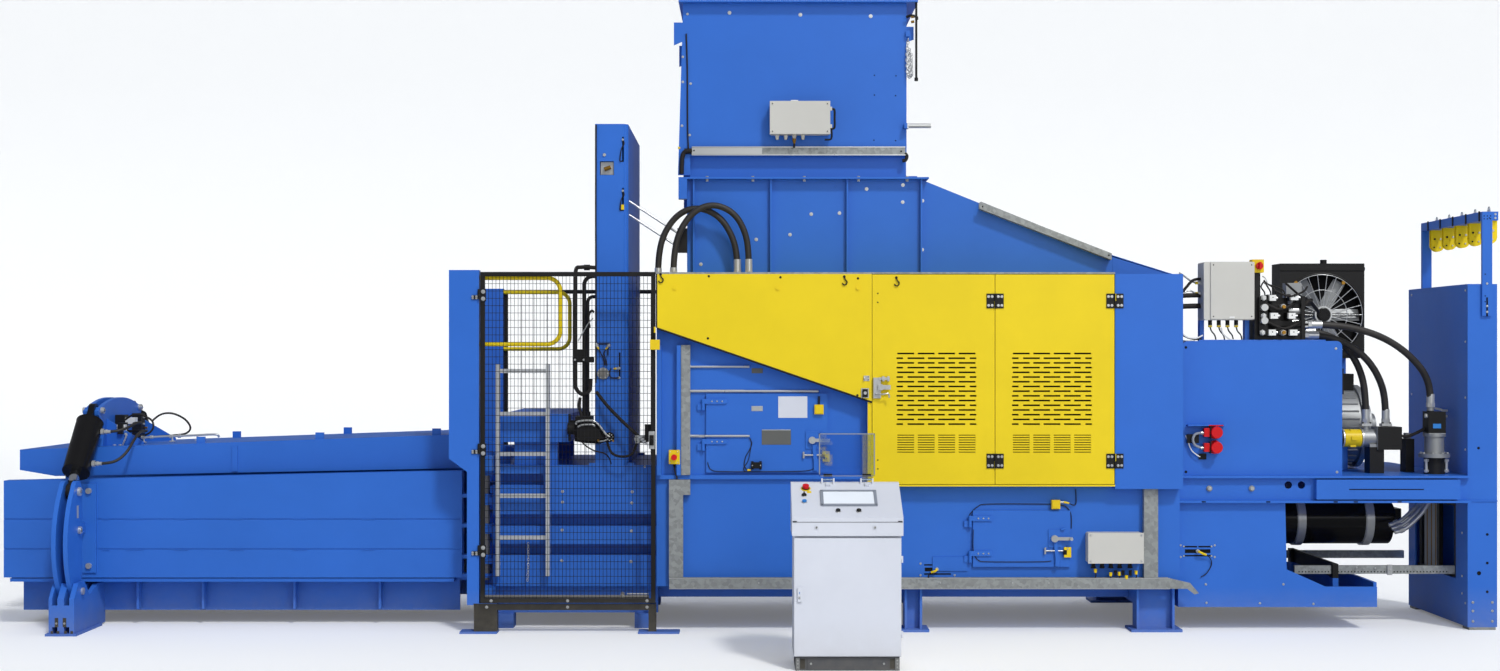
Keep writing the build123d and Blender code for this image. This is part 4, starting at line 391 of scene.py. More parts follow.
dressNodes()
print("nodes finished")

# Hoses: the same route points as the CAD tubes, as smooth splines
hoses = {
    "hoodHoseLeft": {"node": "hood_hoses", "body": "machine", "bore": 22, "length": 1.189, "route": [
        (-640, -620, 2457), (-640, -620, 2580), (-600, -622, 2750), (-490, -625, 2890), (-350, -628, 2925),
        (-210, -630, 2860), (-125, -630, 2730), (-88, -630, 2590), (-88, -630, 2457)]},
    "hoodHoseRight": {"node": "hood_hoses", "body": "machine", "bore": 22, "length": 1.209, "route": [
        (-530, -690, 2457), (-530, -690, 2580), (-492, -688, 2755), (-385, -682, 2900), (-245, -675, 2945),
        (-105, -668, 2880), (-30, -664, 2745), (-8, -660, 2600), (-8, -660, 2457)]},
    "pumpHoseFront": {"node": "pump_hoses", "body": "machine", "bore": 24, "length": 1.193, "route": [
        (3860, -700, 2105), (3990, -700, 2105), (4170, -698, 2085), (4345, -692, 2035), (4490, -680, 1960),
        (4610, -660, 1865), (4700, -632, 1765), (4750, -600, 1650), (4750, -600, 1530)]},
    "pumpHoseInner": {"node": "pump_hoses", "body": "machine", "bore": 24, "length": 0.915, "route": [
        (3860, -540, 2060), (3970, -540, 2060), (4130, -535, 2000), (4240, -525, 1880), (4305, -510, 1740),
        (4330, -500, 1580), (4330, -500, 1420)]},
    "pumpHoseMiddle": {"node": "pump_hoses", "body": "machine", "bore": 24, "length": 0.994, "route": [
        (3860, -620, 2030), (3980, -620, 2030), (4150, -612, 1985), (4300, -590, 1880), (4400, -560, 1750),
        (4470, -500, 1590), (4470, -500, 1420)]},
}
# the front clamp cylinder: trunnion, direction to the lever's pin, and its two ports along it
barrelPin = Vector((-4645, -420, 1500))
barrelWay = Vector((0, 420 - 880, 960 - 1500)).normalized()
barrelPorts = [barrelPin + Vector((118, 0, 0)) + barrelWay * reach for reach in (190, 470)]
(_, portY, portZ), (_, lowY, lowZ) = barrelPorts
hoses["clampHoseUpper"] = {"node": "clamp_hoses", "body": "lid", "bore": 10, "length": 0.639, "route": [
    barrelPorts[0], (-4470, portY, portZ), (-4400, -510, 1370), (-4370, -430, 1395), (-4365, -330, 1410),
    (-4370, -235, 1410), (-4395, -155, 1405), (-4450, -105, 1400), (-4520, -105, 1400)]}
hoses["clampHoseLower"] = {"node": "clamp_hoses", "body": "lid", "bore": 10, "length": 0.980, "route": [
    barrelPorts[1], (-4460, lowY, lowZ), (-4380, -705, 1160), (-4330, -650, 1220),
    (-4315, -570, 1290), (-4315, -475, 1335), (-4320, -370, 1350), (-4325, -265, 1350), (-4345, -165, 1348),
    (-4400, -90, 1342), (-4462, -65, 1340), (-4520, -65, 1340)]}


def hoseRubber():
    # wrapped rubber cover over wire braid: dull black with a faint cloth weave, drawn coarse at 5 mm
    material = bpy.data.materials.new("wrappedHoseRubber")
    tree = clearTree(material)
    place = addNode(tree, "ShaderNodeTexCoord").outputs["Object"]
    weave = addNode(tree, "ShaderNodeTexNoise", Vector=place, Scale=200.0, Detail=2.0)
    band = addNode(tree, "ShaderNodeTexWave", wave_type="BANDS", bands_direction="DIAGONAL", Vector=place,
                   Scale=30.0, Distortion=1.0)
    both = addNode(tree, "ShaderNodeMath", operation="ADD", in0=weave, in1=band.outputs[1])
    bump = addNode(tree, "ShaderNodeBump", Strength=0.5, Distance=0.0006, Height=both)
    worn = addNode(tree, "ShaderNodeTexNoise", Vector=place, Scale=7.0, Detail=4.0)
    tone = addNode(tree, "ShaderNodeMix", data_type="RGBA", Factor=worn, A=linear("#1C1A18"),
                   B=linear("#3A3632"))
    skin = addNode(tree, "ShaderNodeBsdfPrincipled", BaseColor=tone, Roughness=0.55, Normal=bump)
    addNode(tree, "ShaderNodeOutputMaterial", Surface=skin)
    return material


def makeHoses():
    cover = hoseRubber()
    for name, hose in hoses.items():
        line = bpy.data.curves.new(name, "CURVE")
        line.dimensions = "3D"
        line.bevel_depth = hose["bore"] / 1000
        line.bevel_resolution = 6
        line.resolution_u = 24
        line.use_fill_caps = True
        spline = line.splines.new("NURBS")
        spline.points.add(len(hose["route"]) - 1)
        for point, place in zip(spline.points, hose["route"]):
            point.co = (*toMetres(place), 1)
        spline.order_u = 3
        spline.use_endpoint_u = True
        piece = addObject(name, line)
        line.materials.append(cover)
        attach(piece, hose["body"])
        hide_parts(hose["node"])


makeHoses()
print("hoses laid")


edges = {"sharpFrom": math.radians(38), "bevelFrom": math.radians(50), "bevelSteps": 2}


class Maker:
    # collects mesh parts in mm, each with its finish
    def __init__(self):
        self.shape = bmesh.new()
        self.used = []

    def mark(self, faces, name, smooth=False):
        if name not in self.used:
            self.used.append(name)
        for face in faces:
            face.material_index = self.used.index(name)
            face.smooth = smooth

    def put(self, made, place, name, smooth=False):
        bmesh.ops.transform(self.shape, matrix=place, verts=made["verts"])
        self.mark({f for v in made["verts"] for f in v.link_faces}, name, smooth)

    def box(self, name, *boxes, turn=Matrix()):
        # a box is (x0, x1, y0, y1, z0, z1)
        for x0, x1, y0, y1, z0, z1 in boxes:
            place = Matrix.Translation(((x0 + x1) / 2, (y0 + y1) / 2, (z0 + z1) / 2)) @ turn
            place = place @ Matrix.Diagonal((abs(x1 - x0), abs(y1 - y0), abs(z1 - z0), 1))
            self.put(bmesh.ops.create_cube(self.shape, size=1), place, name)

    def rod(self, name, radius, sides, way, *starts, tip=None):
        # the same rod, or cone with a tip, from each start along the way
        turn = Vector(way).to_track_quat("Z", "Y").to_matrix().to_4x4()
        for start in starts:
            made = bmesh.ops.create_cone(self.shape, cap_ends=True, segments=sides, radius1=radius,
                                         radius2=radius if tip is None else tip, depth=Vector(way).length)
            self.put(made, Matrix.Translation(Vector(start) + Vector(way) / 2) @ turn, name, True)

    def screws(self, name, y, radius, high, *spots):
        # pan heads at (x, z) on a face that looks forward
        self.rod(name, radius, 12, (0, -high, 0), *[(x, y, z) for x, z in spots], tip=radius * 0.75)

    def plate(self, name, outline, y0, y1):
        # an outline of (x, z) points, given thickness in y
        front = [self.shape.verts.new((x, y0, z)) for x, z in outline]
        back = [self.shape.verts.new((x, y1, z)) for x, z in outline]
        faces = [self.shape.faces.new(front), self.shape.faces.new(back[::-1])]
        for i in range(len(outline)):
            j = (i + 1) % len(outline)
            faces.append(self.shape.faces.new((front[j], front[i], back[i], back[j])))
        bmesh.ops.recalc_face_normals(self.shape, faces=faces)
        self.mark(faces, name)

    def pipe(self, name, radius, sides, points, y=None, steps=6):
        # a tube on a smooth curve through points, which are (x, z) where y is given
        points = [Vector(p if y is None else (p[0], y, p[1])) for p in points]
        path = []
        for i in range(len(points) - 1):
            before = points[max(i - 1, 0)]
            start, end = points[i], points[i + 1]
            after = points[min(i + 2, len(points) - 1)]
            second = 2 * before - 5 * start + 4 * end - after
            third = 3 * start - before - 3 * end + after
            for t in [step / steps for step in range(steps)]:
                path.append(0.5 * (2 * start + (end - before) * t + second * t * t + third * t ** 3))
        path.append(points[-1])
        rings = []
        side = None
        for i, place in enumerate(path):
            along = (path[min(i + 1, len(path) - 1)] - path[max(i - 1, 0)]).normalized()
            if side is None:
                side = along.orthogonal().normalized()
            side = (side - along * side.dot(along)).normalized()
            other = along.cross(side)
            rings.append([self.shape.verts.new(place + radius * (side * math.cos(a) + other * math.sin(a)))
                          for a in [2 * math.pi * k / sides for k in range(sides)]])
        faces = []
        for low, high in zip(rings, rings[1:]):
            for k in range(sides):
                j = (k + 1) % sides
                faces.append(self.shape.faces.new((low[k], low[j], high[j], high[k])))
        faces.append(self.shape.faces.new(rings[0][::-1]))
        faces.append(self.shape.faces.new(rings[-1]))
        self.mark(faces, name, True)

    def save(self, name, body, bevel=0.0, slot=None):
        mesh = bpy.data.meshes.new(name)
        toFrame = Matrix.Translation((0, lineY / 1000, 0)) @ Matrix.Scale(0.001, 4)
        bmesh.ops.transform(self.shape, matrix=toFrame, verts=self.shape.verts)
        self.shape.to_mesh(mesh)
        self.shape.free()
        for used in self.used:
            mesh.materials.append(finish(used))
        mesh.set_sharp_from_angle(angle=edges["sharpFrom"])
        piece = addObject(name, mesh)
        if bevel:
            edge = piece.modifiers.new("edges", "BEVEL")
            edge.width = bevel / 1000
            edge.segments = edges["bevelSteps"]
            edge.limit_method = "ANGLE"
            edge.angle_limit = edges["bevelFrom"]
        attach(piece, body)
        return piece


def around(axis, centre, reach, count, turn=0):
    # places on a circle square to an axis, starting turn degrees on
    angles = [math.radians(360 / count * k + turn) for k in range(count)]
    waves = [(reach * math.cos(a), reach * math.sin(a)) for a in angles]
    if axis == "x":
        return [Vector(centre) + Vector((0, c, s)) for c, s in waves]
    if axis == "y":
        return [Vector(centre) + Vector((c, 0, s)) for c, s in waves]
    return [Vector(centre) + Vector((c, s, 0)) for c, s in waves]


def grow(name, body, tree, values, start=None):
    # runs a node tree on a start mesh and keeps its result as a plain mesh
    seed = addObject(name + "Seed", start or bpy.data.meshes.new(name + "Seed"))
    nodesOn = seed.modifiers.new("grow", "NODES")
    nodesOn.node_group = tree
    for item in tree.interface.items_tree:
        if item.item_type == "SOCKET" and item.in_out == "INPUT" and item.name in values:
            nodesOn[item.identifier] = values[item.name]
    bpy.context.view_layer.update()
    grown = bpy.data.meshes.new_from_object(seed.evaluated_get(bpy.context.evaluated_depsgraph_get()))
    bpy.data.objects.remove(seed)
    grown.materials.clear()
    grown.materials.append(values["Finish"])
    grown.polygons.foreach_set("material_index", [0] * len(grown.polygons))
    piece = addObject(name, grown)
    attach(piece, body)
    return piece


def newTree(name, inputs):
    # an input's kind follows its value: None is a geometry, "" a material
    tree = bpy.data.node_groups.new(name, "GeometryNodeTree")
    for label, value in inputs.items():
        kind = {float: "Float", int: "Int", tuple: "Vector", str: "Material"}.get(type(value), "Geometry")
        socket = tree.interface.new_socket(label, in_out="INPUT", socket_type="NodeSocket" + kind)
        if value:
            socket.default_value = value
    tree.interface.new_socket("Geometry", in_out="OUTPUT", socket_type="NodeSocketGeometry")
    return tree, tree.nodes.new("NodeGroupInput").outputs


def endTree(tree, geometry, material):
    real = addNode(tree, "GeometryNodeRealizeInstances", Geometry=geometry)
    dressed = addNode(tree, "GeometryNodeSetMaterial", Geometry=real, Material=material)
    addNode(tree, "NodeGroupOutput", in0=dressed)
    return tree


def boltTree():
    # hex head on a washer at every point, standing along its "facing"
    tree, given = newTree("hexBolts", {"Points": None, "Head radius": 0.012, "Head height": 0.008,
                                       "Washer radius": 0.018, "Seed": 4, "Finish": ""})
    washer = addNode(tree, "GeometryNodeMeshCylinder", Vertices=14, Radius=given["Washer radius"],
                     Depth=0.004)
    washer = addNode(tree, "GeometryNodeTransform", Geometry=washer, Translation=(0, 0, 0.002))
    head = addNode(tree, "GeometryNodeMeshCone", Vertices=6, RadiusTop=0.86, RadiusBottom=1.0, Depth=1.0)
    size = addNode(tree, "ShaderNodeCombineXYZ", X=given["Head radius"], Y=given["Head radius"],
                   Z=given["Head height"])
    head = addNode(tree, "GeometryNodeTransform", Geometry=head, Translation=(0, 0, 0.003), Scale=size)
    both = addNode(tree, "GeometryNodeJoinGeometry", in0=[washer, head])
    facing = addNode(tree, "GeometryNodeInputNamedAttribute", data_type="FLOAT_VECTOR", Name="facing")
    size = addNode(tree, "GeometryNodeInputNamedAttribute", data_type="FLOAT", Name="size")
    aim = addNode(tree, "FunctionNodeAlignRotationToVector", axis="Z", Vector=facing)
    spin = addNode(tree, "FunctionNodeRandomValue", data_type="FLOAT", Min=0.0, Max=1.05, Seed=given["Seed"])
    spin = addNode(tree, "FunctionNodeAxisAngleToRotation", Axis=(0, 0, 1), Angle=spin)
    aim = addNode(tree, "FunctionNodeRotateRotation", rotation_space="LOCAL", in0=aim, in1=spin)
    placed = addNode(tree, "GeometryNodeInstanceOnPoints", Points=given["Points"], Instance=both,
                     Rotation=aim, Scale=size)
    return endTree(tree, placed, given["Finish"])


boltsTree = boltTree()
front, rear = (0, -1, 0), (0, 1, 0)


def placeBolts(name, body, *groups, coat=zinc, slot="zinc"):
    # a group is (facing, size, y, spots), and a spot (x, z) in mm
    spots = [(x, y, z, way, size) for way, size, y, places in groups for x, z in places]
    mesh = bpy.data.meshes.new(name + "Spots")
    mesh.from_pydata([toMetres(spot[:3]) for spot in spots], [], [])
    mesh.attributes.new("facing", "FLOAT_VECTOR", "POINT")
    mesh.attributes.new("size", "FLOAT", "POINT")
    for i, spot in enumerate(spots):
        mesh.attributes["facing"].data[i].vector = spot[3]
        mesh.attributes["size"].data[i].value = spot[4]
    return grow(name, body, boltsTree, {"Finish": finish(coat)}, mesh)


# Guard door: black tube frame with a 25 by 50 mm welded wire mesh
guard = {"x0": -1834, "x1": -643, "z0": 208, "z1": 2459, "front": -950, "tube": 30, "wire": 1.6,
         "upright": 44, "level": 43, "hinges": (560, 1250, 2300)}


def wireTree():
    tree, given = newTree("wireMesh", {
        "Seed mesh": None, "Low corner": (0, 0, 0), "Width": 1.0, "Height": 2.0, "Upright wires": 44,
        "Level wires": 43, "Wire radius": 0.0016, "Finish": ""})
    made = []
    for count, length, other, turned in (("Upright wires", "Height", "Width", False),
                                         ("Level wires", "Width", "Height", True)):
        wire = addNode(tree, "GeometryNodeMeshCylinder", Vertices=6, Radius=given["Wire radius"],
                       Depth=given[length])
        half = addNode(tree, "ShaderNodeMath", operation="MULTIPLY", in0=given[length], in1=0.5)
        gap = addNode(tree, "ShaderNodeMath", operation="ADD", in0=given[count], in1=1.0)
        gap = addNode(tree, "ShaderNodeMath", operation="DIVIDE", in0=given[other], in1=gap)
        if turned:
            wire = addNode(tree, "GeometryNodeTransform", Geometry=wire, Rotation=(0, math.pi / 2, 0))
            start = addNode(tree, "ShaderNodeCombineXYZ", X=half, Y=0.0032, Z=gap)
            step = addNode(tree, "ShaderNodeCombineXYZ", Z=gap)
        else:
            start = addNode(tree, "ShaderNodeCombineXYZ", X=gap, Z=half)
            step = addNode(tree, "ShaderNodeCombineXYZ", X=gap)
        start = addNode(tree, "ShaderNodeVectorMath", operation="ADD", in0=start, in1=given["Low corner"])
        row = addNode(tree, "GeometryNodeMeshLine", mode="OFFSET", Count=given[count], StartLocation=start,
                      Offset=step)
        made.append(addNode(tree, "GeometryNodeInstanceOnPoints", Points=row, Instance=wire))
    both = addNode(tree, "GeometryNodeJoinGeometry", in0=made)
    return endTree(tree, both, given["Finish"])


def makeGuard():
    x0, x1, z0, z1, y, t = [guard[key] for key in ("x0", "x1", "z0", "z1", "front", "tube")]
    m = Maker()
    m.box(black, (x0, x0 + t, y, y + t, z0, z1), (x1 - t, x1, y, y + t, z0, z1),
          (x0 + t, x1 - t, y, y + t, z0, z0 + t), (x0 + t, x1 - t, y, y + t, z1 - t, z1))
    for z in guard["hinges"]:  # hinge leaves with their knuckles
        m.box(black, (x0 + 2, x0 + 40, y - 8, y, z - 42, z + 42),
              (-1840, x0 + 6, y - 12, y - 4, z + 1, z + 42))
        m.rod(black, 10, 20, (0, 0, 41), (-1840, y - 12, z + 1))
    m.box(zinc, (x1 - 45, x1 - 5, y - 14, y, 1255, 1375))  # lock with its pull knob
    m.box(black, (x1 - 40, x1 - 10, y - 22, y - 14, 1280, 1350))
    m.rod(plug, 12, 20, (0, -30, 0), (x1 - 25, y - 20, 1316))
    m.rod(zinc, 6, 20, (18, -8, 6), *[(x1 - 70 - 14 * i, y - 4, 1290 + 14 * i) for i in range(4)])
    piece = m.save("guardFrame", "guard", 1.5, "black_steel")
    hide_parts("guard_door")
    values = {"Low corner": toMetres((x0 + t, y + 13, z0 + t)), "Width": (x1 - x0 - 2 * t) / 1000,
              "Height": (z1 - z0 - 2 * t) / 1000, "Upright wires": guard["upright"],
              "Level wires": guard["level"], "Wire radius": guard["wire"] / 1000, "Finish": finish(black)}
    mesh = grow("guardMesh", "guard", wireTree(), values, None)
    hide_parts("guard_door")
    placeBolts("guardBolts", "guard",
               (front, 0.8, y - 8, [(x0 + 21, z + dz) for z in guard["hinges"] for dz in (-24, 24)]),
               (front, 0.6, y, [(x, z0 + 15) for x in (-1760, -1240, -700)]))


makeGuard()
print("guard made")


linkPitch = 0.78  # of a link's length, since links hang in each other


def chainTree():
    # oval links end to end along a line, every second one turned a quarter
    tree, given = newTree("chainLinks", {"Line": None, "Link length": 0.026, "Link width": 0.018,
                                         "Wire radius": 0.0024, "Seed": 2, "Finish": ""})
    path = addNode(tree, "GeometryNodeMeshToCurve", in0=given["Line"])
    step = addNode(tree, "ShaderNodeMath", operation="MULTIPLY", in0=given["Link length"], in1=linkPitch)
    spots = addNode(tree, "GeometryNodeCurveToPoints", mode="LENGTH", Curve=path, Length=step)
    ring = addNode(tree, "GeometryNodeCurvePrimitiveCircle", Resolution=12, Radius=0.5)
    size = addNode(tree, "ShaderNodeCombineXYZ", X=given["Link width"], Y=0.001, Z=given["Link length"])
    flat = addNode(tree, "GeometryNodeTransform", Geometry=ring, Rotation=(math.pi / 2, 0, 0))
    oval = addNode(tree, "GeometryNodeTransform", Geometry=flat, Scale=size)
    wire = addNode(tree, "GeometryNodeCurvePrimitiveCircle", Resolution=6, Radius=given["Wire radius"])
    link = addNode(tree, "GeometryNodeCurveToMesh", Curve=oval, ProfileCurve=wire)
    odd = addNode(tree, "ShaderNodeMath", operation="MODULO", in0=addNode(tree, "GeometryNodeInputIndex"),
                  in1=2.0)
    angle = addNode(tree, "ShaderNodeMath", operation="MULTIPLY", in0=odd, in1=math.pi / 2)
    jitter = addNode(tree, "FunctionNodeRandomValue", data_type="FLOAT", Min=-0.3, Max=0.3,
                     Seed=given["Seed"])
    angle = addNode(tree, "ShaderNodeMath", operation="ADD", in0=angle, in1=jitter)
    turn = addNode(tree, "FunctionNodeAxisAngleToRotation", Axis=(0, 0, 1), Angle=angle)
    aim = addNode(tree, "FunctionNodeRotateRotation", rotation_space="LOCAL", in0=spots.outputs["Rotation"],
                  in1=turn)
    placed = addNode(tree, "GeometryNodeInstanceOnPoints", Points=spots, Instance=link, Rotation=aim)
    return endTree(tree, placed, given["Finish"])


chainsTree = chainTree()


def hangChain(name, body, points, length=26, width=18):
    mesh = bpy.data.meshes.new(name + "Line")
    mesh.from_pydata([toMetres(p) for p in points], [(i, i + 1) for i in range(len(points) - 1)], [])
    return grow(name, body, chainsTree, {"Link length": length / 1000, "Link width": width / 1000,
                                         "Finish": finish(zinc)}, mesh)


def gland(maker, place, radius, long, name=plug):
    # cable gland that points down: hex body, domed nut
    body, x, y, z = long * 0.35, *place
    maker.rod(name, radius * 1.15, 6, (0, 0, -body), place)
    maker.rod(name, radius, 12, (0, 0, body - long), (x, y, z - body), tip=radius * 0.62)


# Hopper: bolted wear plates, grey control box, cable tray, chain and hanging rod
hopper = {"face": -512, "boltsTop": [(-144, 4298), (354, 4284), (848, 4274)],
          "holes": [(874, 3859), (1026, 3855), (874, 3720), (1023, 3716), (871, 3403), (1023, 3400)],
          "edgeBolts": [(-439, 4289), (-472, 3988), (-417, 3800), (-472, 3812), (-478, 3504), (-424, 3439)],
          "box": (141, 556, 3435, 3660, -630)}


def makeHopper():
    y = hopper["face"]
    placeBolts("hopperBolts", "machine", (front, 0.75, y, hopper["boltsTop"]),
               (front, 0.5, y, hopper["edgeBolts"]), (rear, 0.75, -y, hopper["boltsTop"]))
    m = Maker()
    # painted shade: near black discs in place of the shade inside the open holes
    m.screws(shadeFill, y - 0.3, 5, 1.2, *hopper["holes"])
    m.screws(tag, y, 9, 4, (-498, 3349))
    m.pipe(rubber, 5, 10, [(-448, -519, 4150), (-440, -521, 3900), (-438, -521, 3500), (-432, -524, 3340)])
    # the cable tray: corrugated elbow with its ridges at the left end, rolled lips, joint, screws
    m.rod(rubber, 21, 20, (-8, 0, 0), *[(-410 - 14 * i, -528, 3324) for i in range(4)])
    m.pipe(rubber, 16, 12, [(-405, -528, 3324), (-450, -528, 3322), (-474, -528, 3285), (-480, -526, 3165)])
    m.pipe(rubber, 13, 12, [(1086, -528, 3310), (1100, -528, 3290), (1092, -528, 3262), (1070, -524, 3258)])
    m.box(zinc, (-408, 1090, -544, -538, 3348, 3355), (-408, 1090, -544, -538, 3293, 3300),
          (-408, 84, -541.5, -540, 3302, 3346))
    m.box(sheet, (84, 104, -543.5, -540, 3298, 3350))
    m.screws(plug, -540, 7, 3, (-393, 3327), (1060, 3322))
    m.box(blue, (1094, 1124, -540, -528, 4128, 4170))
    m.pipe(black, 10, 8, [(1096, -545, 4262), (1125, -556, 4270), (1164, -560, 4262), (1168, -560, 4240)])
    m.rod(black, 13, 20, (0, 0, 23), (1164, -560, 3812))
    m.rod(brass, 9, 20, (22, -2, 4), (1128, -556, 4225), (1128, -556, 4260))
    m.save("hopperFittings", "machine", 0.8, "zinc")
    x0, x1, z0, z1, y = hopper["box"]
    m = Maker()
    m.box(grey, (x0 - 3, x1 + 3, y - 6, y + 34, z0 - 3, z1 + 3))
    m.box(rubber, (x0 - 1, x1 + 1, y + 34, y + 38, z0 - 1, z1 + 1))
    m.save("hopperBoxLid", "machine", 7, "light_grey")
    m = Maker()
    corners = [(x, z) for x in (x0 + 16, x1 - 16) for z in (z0 + 16, z1 - 16)]
    m.screws(grey, y - 6, 9, 4, *corners)
    # painted shade: near black discs in the recesses of the screw heads
    m.screws(shadeFill, y - 9.6, 4.5, 0.8, *corners)
    m.box(coil, (285, 335, y - 4, y + 26, z1, z1 + 9))
    # side hinges and the black tube handle
    m.box(grey, *[(x1, x1 + 16, y + 2, y + 26, z, z + 26) for z in (z0 + 40, z1 - 62)])
    m.pipe(plug, 8, 10, [(x1 + 8, 3606), (x1 + 32, 3604), (x1 + 34, 3540), (x1 + 32, 3478), (x1 + 4, 3474)],
           -612)
    m.pipe(plug, 7, 10, [(x1 + 10, 3478), (x1 + 14, 3440), (x1 + 8, 3400), (x1 - 36, 3396)], -606)
    for x in (190, 250, 310, 370):
        gland(m, (x, -582, z0), 14, 36, grey)
    gland(m, (309, -600, 3404), 13, 34, brass)
    m.pipe(rubber, 7, 10, [(309, -600, 3376), (309, -596, 3360), (309, -560, 3348)])
    m.save("hopperBoxFittings", "machine", 0.8, "light_grey")
    hangChain("hopperChain", "machine", [
        (1109, -533, 4106), (1100, -533, 3980), (1106, -530, 3850), (1128, -530, 3842), (1124, -530, 3990),
        (1116, -536, 4040), (1118, -538, 3900), (1108, -540, 3836), (1136, -534, 3850), (1132, -532, 4000)])


makeHopper()

# Feed shaft: bolts of the wear plates, the sheet cover over the slope's foot and the tray along the slope
shaft = {"face": -520,
         "bolts": [(-345, 2531), (44, 2705), (281, 2739), (430, 2883), (628, 2890), (819, 3059),
                   (1074, 3087), (1072, 2967)], "edge": [(1193, 2977), (1191, 2633)],
         "blueBolts": [(130, 3075), (600, 3072), (910, 3068), (1120, 3062)],
         "flange": (-300, 20, 380, 760, 1100), "tail": (2546.5, 2966, 2583, 2445),
         "tray": (1606, 2526, 2960, 2604)}


def makeShaft():
    y = shaft["face"]
    placeBolts("shaftBolts", "machine", (front, 0.7, y, shaft["bolts"]),
               (front, 0.7, y, [(x + 18, z) for x, z in shaft["edge"]]),
               (rear, 0.7, -y, shaft["bolts"] + shaft["edge"]))
    placeBolts("shaftBoltsPainted", "machine", (front, 0.5, y, shaft["blueBolts"]), coat=blue, slot="blue")
    m = Maker()
    for low, high in ((3108, 3125), (3137, 3146)):  # nuts below the flange, heads above it
        m.rod(zinc, 11, 6, (0, 0, high - low), *[(x, -560, low) for x in shaft["flange"]])
    m.save("flangeBolts", "machine", 0.6, "zinc")
    m = Maker()  # sheet cover that carries the slope on to the corner column
    x0, x1, z0, z1 = shaft["tail"]
    m.plate(blue, [(x0, z1 + 3), (x1, z1 + 3), (x1, z1 + 12), (x0, z0)], y, -y)
    m.plate(blue, [(x0 - 60, z0 + 24), (x1, z1 + 12), (x1, z1 + 18), (x0 - 60, z0 + 30)], y - 6, 6 - y)
    m.save("shaftTail", "machine", 1.5, "blue")
    m = Maker()  # galvanised cable tray hung along the slope, open at the top
    x0, x1, z0, z1 = shaft["tray"]
    for y0, y1, rise in ((y - 76, y - 73.5, 46), (y - 3.5, y - 1, 46), (y - 73.5, y - 3.5, 3)):
        m.plate(sheet, [(x0, z0 - 46), (x1, z1 - 46), (x1, z1 - 46 + rise), (x0, z0 - 46 + rise)], y0, y1)
    m.screws(plug, y - 76, 6, 3, (x0 + 18, z0 - 30), (x1 - 20, z1 - 14))
    m.save("slopeTray", "machine", 0.5, "zinc")


makeShaft()

# Hood: hooks, blind rivets, rubber edge, hasp, painted shade sheets behind the louvres, hinge screws
hood = {"face": -950, "hooks": [(-604, 2408), (645, 2393)], "doorHook": (999, 2386),
        "rivets": [(-280, 2429), (207, 2422), (734, 2415), (-286, 2007), (730, 1620)],
        "doorRivets": [(869, 2313), (869, 2252), (869, 1180), (869, 1120)],
        "middlePin": 1666, "rightPin": 2480, "leaves": (1173, 2261), "pinToLeaf": 33}


def hook(maker, y, *spots):
    # round wire hooks screwed through the sheet
    line = [(-4, 34), (2, 14), (14, 0), (9, -18), (-8, -22), (-17, -9)]
    for x, z in spots:
        maker.pipe(black, 4.2, 8, [(x - 4, y + 2, z + 34)] + [(x + a, y - 9, z + b) for a, b in line])
        maker.rod(black, 9, 12, (0, -4, 0), (x - 4, y, z + 34))


def makeHood():
    y = hood["face"]
    m = Maker()
    hook(m, y, *hood["hooks"])
    m.screws(plug, y, 8.5, 3, *hood["rivets"])
    m.pipe(rubber, 7, 10, [(-632, 2076), (-100, 1893), (300, 1755), (829, 1573)], y + 3)
    m.pipe(rubber, 6, 10, [(-634, 2080), (-634, 2300), (-634, 2444)], y + 4)
    # hasp plate, staple and lock on the fixed panel
    m.box(zinc, (772, 812, y - 3, y, 1717, 1753), (755, 808, y - 5, y, 1602, 1668))
    m.pipe(zinc, 4, 8, [(780, y - 2, 1726), (776, y - 18, 1731), (776, y - 18, 1741), (780, y - 2, 1745)])
    m.screws(plug, y - 3, 4, 3, (803, 1745), (803, 1725))
    m.box(black, (764, 800, y - 22, y - 5, 1608, 1662))
    m.rod(zinc, 11, 16, (0, -8, 0), (782, y - 22, 1636))
    m.save("hoodFittings", "machine", 0.8, "black_steel")
    m = Maker()
    hook(m, y, hood["doorHook"])
    m.screws(plug, y, 5, 3, *hood["doorRivets"])
    # strap and shoot bolt with its knob
    m.box(zinc, (838, 878, y - 24, y - 20, 1602, 1738), (872, 948, y - 27, y - 19, 1724, 1742),
          (896, 912, y - 30, y, 1716, 1750), (932, 946, y - 30, y, 1716, 1750))
    m.rod(zinc, 7, 12, (0, -24, 0), (900, y - 20, 1733))
    m.pipe(zinc, 6, 8, [(850, y - 30, 1630), (900, y - 46, 1628), (936, y - 46, 1632), (944, y - 44, 1604)])
    # painted shade: near black sheet behind the door's louvres, where there is only shade
    m.box(shadeFill, (876, 1640, y + 18.4, y + 20.5, 1225, 1925))
    m.save("leftDoorFittings", "hood_left", 0.8, "zinc")
    m = Maker()
    # painted shade: near black sheet behind the door's louvres, where there is only shade
    m.box(shadeFill, (1690, 2440, y + 18.4, y + 20.5, 1225, 1925))
    m.save("rightDoorShadeSheet", "hood_right", 0.3, "black_steel")
    middle, end, away = hood["middlePin"], hood["rightPin"], hood["pinToLeaf"]
    places = {"hood_left": [middle - away], "hood_right": [middle + away, end - away],
              "machine": [end + away]}
    for body, leaves in places.items():
        placeBolts("hingeScrews_" + body, body, (front, 0.52, y - 6, [
            (x + dx, z + dz) for x in leaves for z in hood["leaves"]
            for dx in (-12, 12) for dz in (-30, 30)]))


makeHood()

# Chamber side under the hood: blank plates, key box, lever, interlock, limit switch with its thin lead
chamber = {"skin": -850, "door": -872, "straps": (1285, 1560), "ramStraps": (520, 760)}


